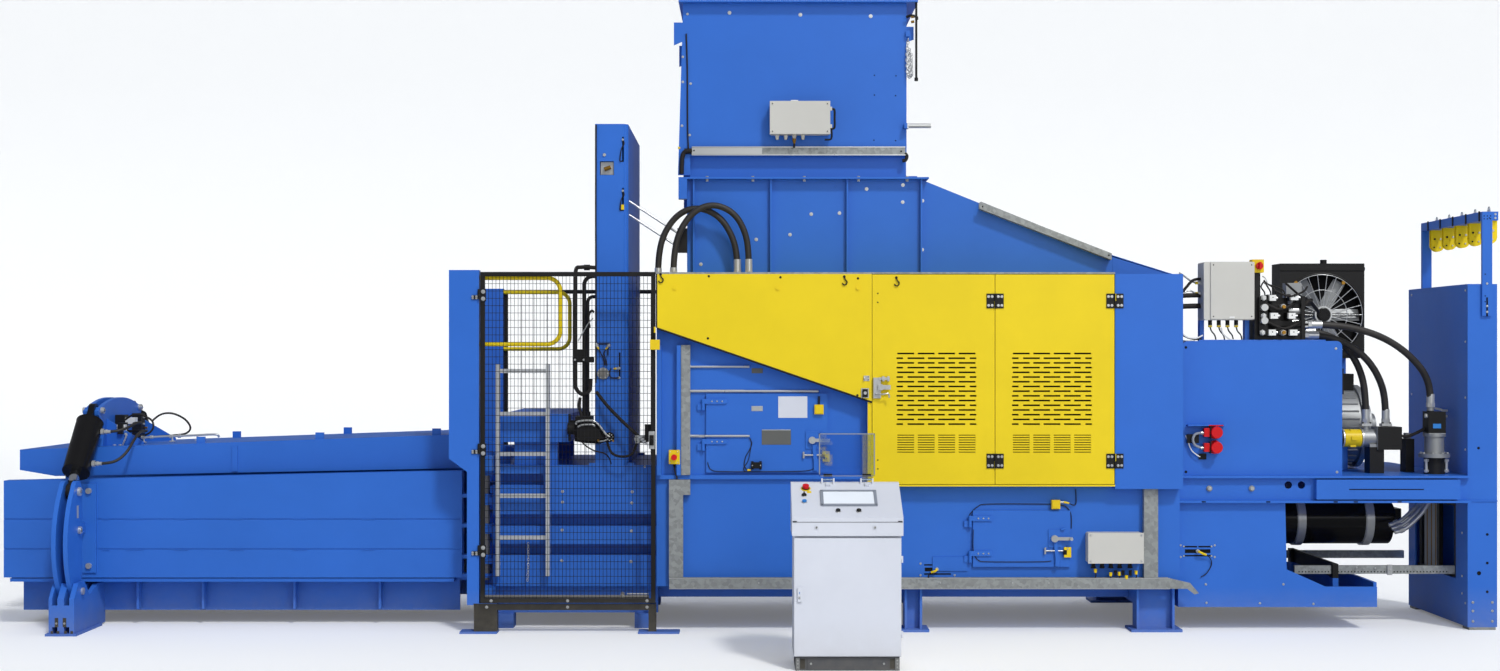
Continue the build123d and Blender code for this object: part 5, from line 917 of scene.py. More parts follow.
def dropLever(maker, x, z, door):
    # bent blue lever below the latch, its chrome T-handle and the yellow interlock beside it
    maker.plate(blue,
                [(x - 8, z + 72), (x + 24, z + 70), (x + 14, z + 50), (x + 30, z - 50), (x + 28, z - 106),
                 (x, z - 106), (x + 2, z - 50), (x - 6, z + 20)], door - 20, door - 8)
    maker.rod(blue, 8, 12, (-26, 0, -8), (x + 66, door - 12, z + 150))
    maker.rod(zinc, 6, 14, (131, 0, 0), (x - 71, door - 14, z))
    maker.rod(zinc, 7, 14, (0, 0, 44), (x - 68, door - 14, z - 22))
    maker.box(tag, (x + 61, x + 110, door - 18, door - 4, z - 45, z + 25))
    maker.box(plug, (x + 54, x + 80, door - 20, door - 16, z - 26, z + 6))
    maker.rod(zinc, 5, 10, (0, -2, 0), (x + 86, door - 18, z + 12))


def makeChamber():
    skin, door = chamber["skin"], chamber["door"]
    m = Maker()
    m.box(etched, (11, 88, skin - 2, skin, 1769, 1803))
    m.box(tag, (812, 828, skin - 46, skin - 18, 1387, 1457))
    m.box(plug, (816, 826, skin - 42, skin - 20, 1458, 1500))
    m.pipe(rubber, 4, 10, [(820, skin - 30, 1500), (818, skin - 24, 1540), (812, skin - 20, 1580)])
    m.rod(zinc, 9, 10, (450, 0, 0), (-454, skin - 10, 1814))
    m.rod(zinc, 9, 10, (924, 0, 0), (-454, skin - 10, 1646))
    m.rod(zinc, 9, 10, (104, 0, 0), (-454, skin - 12, 1340))
    # yellow interlock with its lead beside the guard's lock post
    m.box(tag, (-678, -612, -990, -955, 1930, 1998), (-652, -640, -976, -960, 2045, 2085))
    m.box(plug, (-652, -640, -975, -958, 2000, 2045))
    m.save("chamberFittings", "machine", 1.2, "light_grey")
    m = Maker()
    m.box(blank, (10, 87, door - 2, door, 1510, 1545), (82, 278, door - 2.6, door, 1378, 1384))
    m.box(etched, (80, 280, door - 2, door, 1280, 1383))
    m.box(white, (193, 392, door - 2, door, 1464, 1611))
    m.box(tag, (440, 503, door - 24, door, 1489, 1555), (447, 496, door - 30, door - 24, 1496, 1548),
          (-18, 6, door - 14, door - 4, 1102, 1114))
    m.box(plug, (466, 478, door - 16, door, 1556, 1612), (7, 81, door - 30, door, 1119, 1161),
          *[(x - 8, x + 8, door - 16, door, 1112, 1168) for x in (16, 72)])
    m.rod(zinc, 8, 10, (305, 0, 0), (-308, door - 8, 1340))
    m.screws(zinc, door - 30, 5, 3, (16, 1140), (72, 1140))
    m.pipe(rubber, 3, 8,
           [(-3, door - 8, 1329), (12, door - 6, 1289), (-6, door - 6, 1240), (-30, door - 6, 1196),
            (-40, door - 6, 1140), (-18, door - 8, 1108)])
    m.pipe(rubber, 2.6, 8, [(11, 1300), (-10, 1180), (-44, 1120), (-30, 1096)], door - 5)
    m.pipe(rubber, 2.6, 8, [(-290, 1160), (-266, 1110), (-180, 1097), (180, 1097), (400, 1104), (450, 1140)],
           door - 4)
    dropLever(m, 434, 1210, door)
    for z in chamber["straps"]:  # rounded nose of each strap
        m.rod(blue, 17, 20, (0, 12.4, 0), (-170, door - 12.4, z + 17))
        m.screws(zinc, door - 12, 6, 3, *[(x, z + 17) for x in (-260, -225, -190)])
    m.save("hatchFittings", "chamber_hatch", 1.2, "light_grey")
    m = Maker()
    m.screws(zinc, door - 12, 6, 3, *[(x, z + 17) for z in chamber["ramStraps"] for x in (1560, 1595, 1630)])
    m.save("ramHatchScrews", "ram_hatch", 0.6, "zinc")
    m = Maker()
    m.box(tag, (-553, -484, skin - 70, skin - 66.3, 1152, 1242))
    m.rod(zinc, 4, 10, (0, -2, 0), *[(x, skin - 70, z) for x in (-544, -493) for z in (1161, 1233)])
    gland(m, (-516, skin - 40, 1150), 9, 26)
    m.pipe(rubber, 5, 10, [(-516, skin - 40, 1126), (-512, skin - 44, 1098), (-500, skin - 52, 1060),
                           (-498, skin - 52, 1046)])
    m.save("stopBoxFront", "machine", 3, "yellow")


makeChamber()
print("press side made")

# Needle mast: wire window, sensors, cables, and the wire twister below
mast = {"face": -700, "bandBolts": [(-1299, 948), (-1299, 874), (-816, 946), (-819, 869),
                                    (-1302, 681), (-821, 675), (-1304, 469), (-825, 463)]}


def sensor(maker, x, y, z, lean):
    # threaded proximity sensor, nut and plug; returns where its lead starts
    way, middle = Vector((math.sin(lean), 0, -math.cos(lean))), Vector((x, y, z))
    maker.rod(zinc, 9, 14, way * 28, middle - way * 14)
    maker.rod(zinc, 14, 6, way * 6, middle - way * 3)
    maker.rod(tag, 8, 10, way * 20, middle + way * 14, tip=5)
    return middle + way * 34


def makeMast():
    y = mast["face"]
    m = Maker()
    m.pipe(rubber, 6, 8, [(-1066, 3488), (-1068, 2900), (-1066, 2200), (-1068, 1700)], y - 7)
    m.box(zinc, (-1036, -947, y + 24, y + 30, 3145, 3232))
    m.rod(brass, 14, 12, (45, 0, 16), (-1010, y + 4, 3180))
    m.rod(zinc, 12, 6, (0, -8, 0), (-1008, y, 3280))
    for z0, z1 in ((3232, 3405), (2892, 3051)):
        m.pipe(rubber, 4, 8, [(-880, y + 2, z1 - 20), (-872, y - 10, z1 - 50), (-890, y - 12, (z0 + z1) / 2),
                              (-900, y - 10, z0 + 10), (-884, y + 2, z0 + 6)])
        m.rod(zinc, 8, 6, (0, -14, 0), (-880, y + 2, z1 - 20))
    m.box(tag, (-892, -872, y - 8, y - 5, 2900, 2935))
    leads = ((-1062, 1962, 0.5, [(-1030, y - 12, 1900), (-1012, y - 10, 1860), (-1004, y - 10, 1820)]),
             (-978, 1958, -0.7, [(-1010, y - 14, 1905), (-1000, y - 12, 1860), (-990, y - 10, 1820)]))
    for x, z, lean, lead in leads:
        m.pipe(rubber, 4, 8, [sensor(m, x, y - 12, z, lean)] + lead)
    m.box(black, (-1072, -972, y - 6, y, 1966, 1976), (-988, -980, y - 5, y, 1890, 1966))
    m.rod(cast, 41, 28, (0, -14, 0), (-1017, y, 1766))
    m.rod(steel, 22, 20, (0, -10, 0), (-1017, y - 14, 1766))
    m.rod(zinc, 5, 6, (0, -6, 0), *around("y", (-1017, y - 13, 1766), 32, 6))
    sensor(m, -911, y - 14, 1801, -1.5)
    # painted shade: near black inset in place of the shade in a slot
    m.box(shadeFill, (-908, -897, y - 1, y + 0.4, 1740, 1911))
    m.pipe(rubber, 4, 8,
           [(-960, y - 10, 1801), (-975, y - 10, 1770), (-960, y - 10, 1738), (-906, y - 8, 1736)])
    m.rod(zinc, 9, 6, (0, -10, 0), (-906, y, 1736))
    # supply pipe down the left side of the mast, with its bracket, ending in a return bend
    m.pipe(rubber, 14, 12,
           [(-1074, y + 2, 2499), (-1170, y + 2, 2502), (-1207, y + 2, 2478), (-1211, y + 2, 2300),
            (-1211, y + 2, 1740), (-1203, y + 2, 1660), (-1160, y + 4, 1622), (-1112, y + 6, 1650),
            (-1104, y + 8, 1730)])
    m.rod(black, 20, 16, (40, 0, 0), (-1150, y + 2, 2500))
    m.box(black, (-1228, -1080, y - 14, y + 10, 1842, 1880), (-1225, -1130, y - 18, y - 8, 1880, 1930))
    m.rod(zinc, 8, 6, (0, -8, 0), (-1211, y - 14, 1861), (-1150, y - 14, 1861))
    m.pipe(zinc, 4, 8,
           [(-1190, y - 12, 1990), (-1150, y - 16, 2060), (-1120, y - 16, 2110), (-1086, y - 12, 2150)])
    m.pipe(rubber, 8, 10,
           [(-1110, y - 4, 2080), (-1118, y - 8, 2160), (-1098, y - 8, 2200), (-1080, y - 6, 2190)])
    m.save("mastFittings", "machine", 0.8, "black_steel")
    placeBolts("bandBolts", "machine", (front, 0.6, y, mast["bandBolts"]),
               (rear, 0.6, -y, mast["bandBolts"]))


def makeTwister():
    # hydraulic wire twister: black casting, bent chrome feed tubes and its hoses to the lock
    m = Maker()
    m.plate(gloss, [(-1206, 1300), (-1212, 1372), (-1196, 1432), (-1110, 1448), (-1050, 1420), (-1000, 1352),
                    (-980, 1300), (-1030, 1282), (-1120, 1286)], -800, -770)
    m.plate(black, [(-1190, 1310), (-1190, 1410), (-1100, 1420), (-1040, 1380), (-1010, 1320),
                    (-1080, 1300)], -812, -800)
    m.pipe(zinc, 7, 10, [(-1196, -818, 1418), (-1180, -820, 1438), (-1090, -820, 1444), (-1040, -820, 1416),
                         (-990, -820, 1352), (-962, -818, 1332)])
    m.pipe(zinc, 6, 10, [(-1182, -822, 1400), (-1150, -824, 1414), (-1080, -824, 1416), (-1066, -822, 1404)])
    m.rod(gloss, 34, 24, (0, 52, 0), (-965, -822, 1330))
    m.rod(zinc, 5, 6, (0, -8, 0), *around("y", (-965, -822, 1330), 22, 8))
    m.rod(brass, 8, 6, (6, -14, 0), (-1046, -812, 1306))
    m.rod(brass, 8, 6, (4, -14, 0), (-942, -812, 1304))
    m.pipe(zinc, 5, 8, [(-1040, -820, 1300), (-1000, -824, 1306), (-972, -822, 1318)])
    m.pipe(rubber, 11, 12,
           [(-1172, -744, 1600), (-1180, -750, 1540), (-1160, -760, 1470), (-1150, -780, 1446)])
    m.pipe(rubber, 12, 12, [(-1062, -740, 1640), (-980, -770, 1540), (-880, -800, 1440), (-800, -830, 1370),
                            (-770, -850, 1345)])
    m.pipe(rubber, 9, 12, [(-985, -790, 1300), (-950, -800, 1220), (-880, -815, 1196), (-810, -830, 1215),
                           (-775, -850, 1290)])
    m.pipe(rubber, 5, 8, [(-1190, -790, 1370), (-1150, -800, 1290), (-1080, -802, 1240), (-1000, -796, 1216),
                          (-970, -760, 1180), (-960, -740, 1140)])
    m.box(cast, (-785, -700, -878, -840, 1290, 1345))
    m.rod(zinc, 14, 16, (100, 0, 0), (-790, -860, 1318))
    m.rod(black, 6, 6, (0, 40, 0), *[(x, -880, 1302) for x in (-775, -745, -715)])
    m.box(black, (-720, -660, -884, -850, 1300, 1420))
    m.save("wireTwister", "machine", 1.5, "black_steel")
    m = Maker()
    hub, teeth = Vector((-870, -884, 243)), 14
    for place in around("x", hub, 28, teeth):
        m.rod(steel, 4, 6, (place - hub) * 6 / 28, place)
    m.rod(zinc, 5, 8, (148, 0, 0), (-840, -880, 222), (-840, -880, 262))
    m.save("latchGear", "machine", 0.5, "zinc")
    hangChain("ladderChain", "machine", [(-1531, -748, 590), (-1528, -752, 470), (-1536, -752, 340)], 22, 15)
    placeBolts("tieBolts", "machine", (front, 0.6, -950, [(x, 180) for x in (-1790, -1240, -700)]),
               (front, 0.5, -700, [(-730, 1120)]), (front, 0.4, -950, [(-1846, 2300)]),
               (front, 0.42, -960, [(x, z + dz) for z in guard["hinges"]
                                    for x in (-1884, -1858) for dz in (-20, -8)]))


makeMast()
makeTwister()
print("mast made")

# Bale clamp on the channel: silver pin heads, weld runs on the wall, valves, small hoses and pipes
clamp = {"plateRight": -4590, "pins": ((-880, 960, 26), (-871, 696, 24)), "pipeTilt": 0.04, "pipeZ": 1301,
         "welds": ((-4505, -4452), (-4336, -4215), (-4004, -3904), (-3620, -3520), (-3180, -3080),
                   (-2700, -2610))}


def pinHead(maker, place, radius):
    # turned head with a keeper screw
    maker.rod(zinc, radius, 24, (6, 0, 0), place)
    maker.rod(chrome, radius * 0.62, 20, (6, 0, 0), Vector(place) + Vector((6, 0, 0)), tip=radius * 0.4)


def makeClamp():
    right = clamp["plateRight"]
    m = Maker()
    for y, z, radius in clamp["pins"]:
        pinHead(m, (right + 14, y, z), radius)
    m.box(blank, (right, right + 1.5, -910, -876, 780, 866))
    m.rod(zinc, 3, 8, (1.5, 0, 0), *[(right + 1.5, -893, z) for z in (787, 859)])
    m.save("leverPins", "lever_front", 0.6, "zinc")
    m = Maker()
    for x0, x1 in clamp["welds"]:  # weld runs in the wall's grooves
        m.rod(blue, 3.4, 8, (x1 - x0, 0, 0), (x0, -652, 752), (x0, -652, 537))
    m.save("wallBolts", "wall_front", 0.6, "zinc")
    m = Maker()
    pinHead(m, (-4560, -915, 285), 24)
    # adjusting screws in the foot's slots, drain slots at the floor; the slots are painted shade, near black
    # insets
    m.box(shadeFill, *[(x - 12, x + 12, -1064.8, -1063, 60, 122) for x in (-4673, -4619)],
          *[(x - 9, x + 9, -1064.8, -1063, 3, 34) for x in (-4704, -4662, -4612, -4570)])
    m.rod(zinc, 8, 6, (0, -7, 0), *[(x, -1063, 85) for x in (-4673, -4619)])
    m.save("clampFootFittings", "machine", 0.5, "zinc")
    m = Maker()
    m.box(black, (-4505, -4470, -330, -210, 1330, 1410))
    m.box(coil, (-4520, -4465, -300, -245, 1350, 1396), (-4518, -4450, -120, -52, 1395, 1440))
    m.rod(zinc, 8, 6, (14, 0, 0), *[(-4522, y, z) for z in (1330, 1380, 1430) for y in (-85, 295)])
    m.rod(brass, 8, 6, (20, 0, 0), (-4520, 330, 1350))
    m.pipe(rubber, 7, 12,
           [(-4495, -190, 1427), (-4440, -195, 1462), (-4375, -200, 1462), (-4303, -200, 1425),
            (-4290, -205, 1370), (-4330, -210, 1325), (-4420, -215, 1305), (-4490, -240, 1318)])
    m.pipe(rubber, 7, 12,
           [(-4303, -190, 1418), (-4240, -180, 1466), (-4160, -170, 1472), (-4073, -165, 1430),
            (-4035, -160, 1368), (-4075, -155, 1326), (-4188, -150, 1312), (-4280, -150, 1304)])
    for x, z, high in ((-4345, 1264, 1306), (-4140, 1272, 1312), (-3960, 1280, 1320)):
        m.box(zinc, (x - 16, x + 16, -262, -222, z, z + 8))
        m.rod(zinc, 7, 6, (0, 0, high - z), (x, -242, z))
    m.pipe(zinc, 8, 12, [(-4360, -242, 1300), (-4200, -242, 1309), (-3980, -242, 1318), (-3830, -242, 1324),
                         (-3810, -230, 1305)])
    m.rod(zinc, 13, 6, (24, 0, 1), *[(x - 12, -242, clamp["pipeZ"] + (x + 4360) * clamp["pipeTilt"])
                                     for x in (-4350, -4290, -4150, -4090)])
    m.rod(zinc, 12, 6, (0, 0, 16), (-4530, -316, 1240), (-4490, -316, 1240))
    m.rod(zinc, 9, 6, (0, 20, 0), (-4452, -318, 1330))
    for y in (-420, 420):
        pinHead(m, (-4574, y, 1500), 22)
    m.save("clampValves", "lid", 0.8, "black_steel")
    m = Maker()
    for port in barrelPorts:
        m.rod(zinc, 22, 6, (22, 0, 0), port - Vector((22, 0, 0)))
        m.rod(zinc, 13, 16, (46, 0, 0), port)
        m.rod(zinc, 17, 6, (12, 0, 0), port + Vector((10, 0, 0)))
    m.rod(gloss, 93.5, 40, barrelWay * 6, barrelPin + barrelWay * 105, barrelPin + barrelWay * 537)
    m.rod(blank, 16, 16, (8, -5, -2), barrelPin + barrelWay * 330 + Vector((70, -45, -20)))
    m.save("barrelFittings", "barrel_front", 0.5, "black_steel")
    hangChain("clampChain", "lid", [(-4440, -330, 1322), (-4446, -420, 1235), (-4440, -470, 1240)], 16, 11)


makeClamp()

# Console desk: rubber-edged screen, button collars, front band with locks, plinth, door fittings
desk = {"front": -2508, "low": 922, "back": -2150, "high": 1108, "screen": (600, 215, 330, 170),
        "pin": (600, 395, 22)}
deskUp = Vector((0, desk["back"] - desk["front"], desk["high"] - desk["low"])).normalized()
deskOut = Vector((1, 0, 0)).cross(deskUp)
deskTurn = Matrix((Vector((1, 0, 0)), deskUp, deskOut)).transposed().to_4x4()


def onDesk(x, up, out=0.0):
    return Vector((x, desk["front"], desk["low"])) + deskUp * up + deskOut * out


def deskBox(maker, name, x, up, wide, tall, low, high):
    middle = onDesk(x, up, (low + high) / 2)
    halves = (wide / 2, tall / 2, (high - low) / 2)
    maker.box(name, [middle[i] + way * halves[i] for i in range(3) for way in (-1, 1)], turn=deskTurn)


def deskRod(maker, name, x, up, low, high, radius, sides=28, tip=None):
    maker.rod(name, radius, sides, deskOut * (high - low), onDesk(x, up, low), tip=tip)


def makeConsole():
    x, up, wide, tall = desk["screen"]
    m = Maker()
    for dx, dy, w, t in ((0, tall / 2 - 5, wide + 14, 18), (0, -tall / 2 + 5, wide + 14, 18),
                         (-wide / 2 + 2, 0, 18, tall), (wide / 2 - 2, 0, 18, tall)):
        deskBox(m, trim, x + dx, up + dy, w, t, 0.5, 9)
    for dx in (-1, 1):
        for dy in (-1, 1):
            deskRod(m, trim, x + dx * (wide / 2 - 2), up + dy * (tall / 2 - 5), 0.5, 9, 9)
    # the screen pane is painted light: near white in place of the lit screen's brightness
    deskBox(m, screenLight, x, up, wide - 24, tall - 26, 4, 6)
    m.save("consoleScreen", "machine", 2.5, "light_grey")
    m = Maker()
    deskRod(m, tag, 342, 330, 0, 4, 30)
    deskRod(m, plug, 342, 330, 4, 7, 24)
    for x, up, radius in ((330, 250, 19), (330, 175, 18), (530, 70, 18), (655, 70, 18)):
        deskRod(m, zinc, x, up, 0, 4, radius, 32, radius * 0.85)
    deskBox(m, tag, 362, 290, 26, 22, 0, 1.6)
    # painted shade: near black line in the gap under the desk's front edge
    m.box(shadeFill, (256, 914, -2509, -2507.4, 893, 896))
    m.box(plug, (256, 280, -2514, -2508, 896, 901), (886, 912, -2514, -2508, 896, 901))
    for x in (398, 748):  # two locks in the front band
        m.box(white, (x - 13, x + 13, -2511, -2508, 850, 876))
        m.rod(zinc, 8, 20, (0, -3, 0), (x, -2511, 863))
        # painted shade: near black inset in the key slot
        m.box(shadeFill, (x - 1.5, x + 1.5, -2514.6, -2514, 858, 868))
    m.box(white, (262, 908, -2490, -2482, 810, 836))
    m.box(plinth, (345, 825, -2474, -2469.5, 4, 80))
    m.rod(zinc, 7, 14, (0, -3, 0), (366, -2474, 42), (804, -2474, 42))
    for x, way in ((286, 1), (884, -1)):  # cast corner pieces of the plinth, three screws each
        m.box(cast, (x - 12, x + 12, -2476, -2469.5, 6, 78))
        # painted shade: near black inset in the recess beside each corner piece
        m.box(shadeFill, (x + way * 16, x + way * 44, -2471, -2469.5, 12, 70))
        m.rod(zinc, 5, 12, (0, -3, 0), *[(x, -2476, z) for z in (20, 42, 62)])
    m.save("consoleFittings", "machine", 1.0, "light_grey")
    m = Maker()
    m.box(white, (285, 315, -2512, -2508, 418, 506))
    m.rod(zinc, 7, 18, (0, -3, 0), (296, -2512, 442))
    m.box(button, (294, 298, -2514, -2512, 466, 478))
    # painted shade: near black line in the gap along the door's edge
    m.box(shadeFill, (266, 904, -2498.6, -2497.9, 798.4, 799.6))
    m.save("consoleDoorLock", "desk_door", 0.8, "light_grey")
    m = Maker()
    x, up, lift = desk["pin"]
    y, z = onDesk(x, up).y, onDesk(x, up).z + lift
    m.box(trim, *[(x0, x1, y - reach, y + 4.5, z + z0, z + z1) for x0, x1, z0, z1, reach in (
        (425, 770, 279, 285, 13), (425, 432, 32, 285, 13),
        (763, 770, 32, 285, 13), (433, 762, 20.5, 25, 4.3))])
    for x in (480, 720):
        m.box(plug, (x - 27, x + 27, y - 4.2, y + 6, z + 18, z + 36))
        m.rod(zinc, 5, 12, (0, 2, 0), (x, y + 6, z + 27))
    m.save("coverFrame", "cover", 1.0, "clear")


makeConsole()
print("clamp and console made")

# Lower side: proximity sensors on slotted plates, leads, gland rows and tray screws
lower = {"skin": -850, "tray": (-551, 2862), "trayScrews": [1298, 1790, 2037, 2523, 620, 60],
         "plugs": (2340, 2400, 2460, 2520, 2590),
         "glands": ((2355, 436), (2459, 412), (2517, 416), (2567, 392), (2632, 424))}


def slotPlate(maker, x, z, y):
    # slots drawn as near black insets of painted shade, and four screws
    maker.box(shadeFill, *[(x - reach, x + reach, y - 0.8, y + 0.5, z + dz - high, z + dz + high)
                      for dz, high, reach in ((31, 5, 92), (0, 13, 88), (-31, 5, 92))])
    maker.rod(zinc, 8, 16, (0, -4, 0), *[(x + dx, y, z + dz) for dx in (-117, 117) for dz in (-40, 40)],
              tip=6)


def makeLower():
    skin = lower["skin"]
    m = Maker()
    # right plate: inner screws, key, threaded sensor with a yellow plug and its lead
    x, z, y = 3078, 545, -800
    slotPlate(m, x, z, y)
    m.rod(zinc, 6, 12, (0, -3, 0), *[(x + dx, y, z + dz) for dx in (-95, 95) for dz in (-33, 33)])
    m.box(blue, (x - 4, x + 4, y - 3, y, z + 18, z + 36))
    m.rod(zinc, 15, 6, (0, -10, 0), (x, y, z))
    m.rod(zinc, 10, 16, (0, -20, 0), (x, y - 10, z))
    m.pipe(tag, 8, 10,
           [(x, y - 30, z), (x + 8, y - 38, z - 4), (x + 30, y - 34, z - 14), (x + 52, y - 28, z - 22)])
    m.pipe(rubber, 3.4, 8, [(x + 52, y - 28, z - 22), (x + 84, y - 16, z - 50), (x + 92, y - 8, z - 96),
                            (x + 60, y - 8, z - 150), (x + 20, y - 10, z - 176)])
    x, z, y = 1285, 425, skin  # left plate with a plain sensor
    slotPlate(m, x, z, y)
    m.rod(zinc, 12, 16, (0, -24, 0), (x - 6, y, z + 4))
    m.pipe(tag, 8, 10, [(x - 6, y - 24, z + 4), (x - 20, y - 30, z - 8), (x - 46, y - 22, z - 18)])
    m.pipe(rubber, 3.4, 8, [(x - 46, y - 22, z - 18), (x - 60, y - 14, z - 30), (x - 64, y - 10, z - 56)])
    m.screws(zinc, skin - 64, 6, 2.5, *[(tx, 340) for tx in lower["trayScrews"]])
    m.box(sheet, *[(tx - 10, tx + 10, skin - 65.6, skin - 64, 302, 370) for tx in (690, 1921)])
    m.box(zinc, (*lower["tray"], skin - 65, skin - 60, 369, 374),
          (*lower["tray"], skin - 66, skin - 63.5, 298, 302))
    # leads over the door of the press box
    m.pipe(rubber, 3, 8,
           [(2061, skin - 6, 873), (1640, skin - 5, 873), (1560, skin - 5, 856), (1508, skin - 5, 806),
            (1502, skin - 5, 780)])
    m.box(tag, (2061, 2119, skin - 40, skin, 842, 903), (2068, 2112, skin - 46, skin - 40, 850, 896))
    m.rod(zinc, 7, 12, (27, 0, 2), (2119, skin - 20, 886))
    m.rod(tag, 8, 12, (36, 0, -8), (2146, skin - 20, 888), tip=6)
    m.pipe(rubber, 3.4, 8,
           [(2182, skin - 20, 880), (2215, skin - 12, 866), (2232, skin - 10, 884), (2229, skin - 8, 975)])
    m.pipe(rubber, 3, 8,
           [(2120, skin - 10, 868), (2170, skin - 6, 850), (2198, skin - 5, 800), (2200, skin - 5, 705)])
    # plugs and glands under the grey box, its door, screws and hinges
    m.rod(plug, 19, 6, (0, 0, 11), *[(gx, skin - 60, 441) for gx in lower["plugs"]])
    for gx, gz in lower["glands"]:
        m.rod(tag, 12, 14, (0, 0, -26), (gx, skin - 60, gz), tip=9)
        m.pipe(rubber, 4, 8, [(gx, skin - 60, gz - 26), (gx + 4, skin - 58, gz - 44), (gx, skin - 50, 372)])
    m.rod(plug, 12, 14, (0, 0, -36), *[(gx, skin - 74, 428) for gx in (2489, 2541, 2590)], tip=9)
    m.box(grey, (2296, 2674, skin - 118, skin - 104, 478, 686))
    m.screws(zinc, skin - 118, 8, 3, *[(bx, bz) for bx in (2312, 2658) for bz in (494, 670)])
    m.box(zinc, *[(2672, 2692, skin - 20, skin - 4, bz - 9, bz + 9) for bz in (500, 664)])
    m.save("lowerFittings", "machine", 1.0, "light_grey")
    m = Maker()
    dropLever(m, 2084, 556, skin - 22)
    m.pipe(rubber, 2.6, 8, [(1527, 700), (1527, 560), (1560, 492), (1640, 480), (1980, 480), (2060, 486)],
           skin - 26)
    m.save("ramHatchFittings", "ram_hatch", 1.0, "zinc")


makeLower()
print("lower side made")

# Power pack: valve rows, grey switch box, fan guard of radial wires, ferrules, motor bells
pack = {"tankFront": -800, "boxFront": -820, "deckFront": -850, "coverFront": -858, "fan": (4166, -20, 2186),
        "guardReach": 292, "guardWires": 26, "guardRings": (1.0, 0.62), "motor": (4440, 60, 1375),
        "upright": (4776, -600), "unions": ((-700, 2105), (-540, 2060), (-620, 2030))}


def spokeTree():
    # straight wires from the hub to the rim, held by two rings
    tree, given = newTree("fanGuard", {"Shape": None, "Wires": 26, "Reach": 0.292, "Hub": 0.066,
                                       "Wire radius": 0.0028, "Seed": 5, "Finish": ""})
    quarter = (math.pi / 2, 0, 0)
    circle = addNode(tree, "GeometryNodeMeshCircle", Vertices=given["Wires"], Radius=given["Hub"])
    flat = addNode(tree, "GeometryNodeTransform", Geometry=circle, Rotation=quarter)
    long = addNode(tree, "ShaderNodeMath", operation="SUBTRACT", in0=given["Reach"], in1=given["Hub"])
    line = addNode(tree, "GeometryNodeCurvePrimitiveLine", End=addNode(tree, "ShaderNodeCombineXYZ", X=long))
    wire = addNode(tree, "GeometryNodeCurvePrimitiveCircle", Resolution=6, Radius=given["Wire radius"])
    spoke = addNode(tree, "GeometryNodeCurveToMesh", Curve=line, ProfileCurve=wire)
    spot = addNode(tree, "GeometryNodeInputPosition")
    aim = addNode(tree, "FunctionNodeAlignRotationToVector", axis="X", Vector=spot)
    made = [addNode(tree, "GeometryNodeInstanceOnPoints", Points=flat, Instance=spoke, Rotation=aim)]
    for share in pack["guardRings"]:
        reach = addNode(tree, "ShaderNodeMath", operation="MULTIPLY", in0=given["Reach"], in1=share)
        ring = addNode(tree, "GeometryNodeCurvePrimitiveCircle", Resolution=64, Radius=reach)
        upright = addNode(tree, "GeometryNodeTransform", Geometry=ring, Rotation=quarter)
        made.append(addNode(tree, "GeometryNodeCurveToMesh", Curve=upright, ProfileCurve=wire))
    joined = addNode(tree, "GeometryNodeJoinGeometry", in0=made)
    x, y, z = toMetres(pack["fan"])
    placed = addNode(tree, "GeometryNodeTransform", Geometry=joined, Translation=(x, y - 0.008, z))
    return endTree(tree, placed, given["Finish"])


def solenoid(maker, x, z, wide, y=-780):
    # plug box on a black coil, silver end cap towards the front
    maker.box(plug, (x - wide, x + wide, y - 6, y + 50, z - 24, z + 24))
    maker.box(coil, (x - wide + 4, x + wide - 4, y - 42, y - 6, z - 20, z + 20))
    maker.rod(zinc, 9, 12, (16, 0, 0), (x + wide - 4, y - 24, z))
    # painted shade: near black disc in the coil's hole
    maker.rod(shadeFill, 4, 8, (0, -2, 0), (x, y - 42, z + 4))


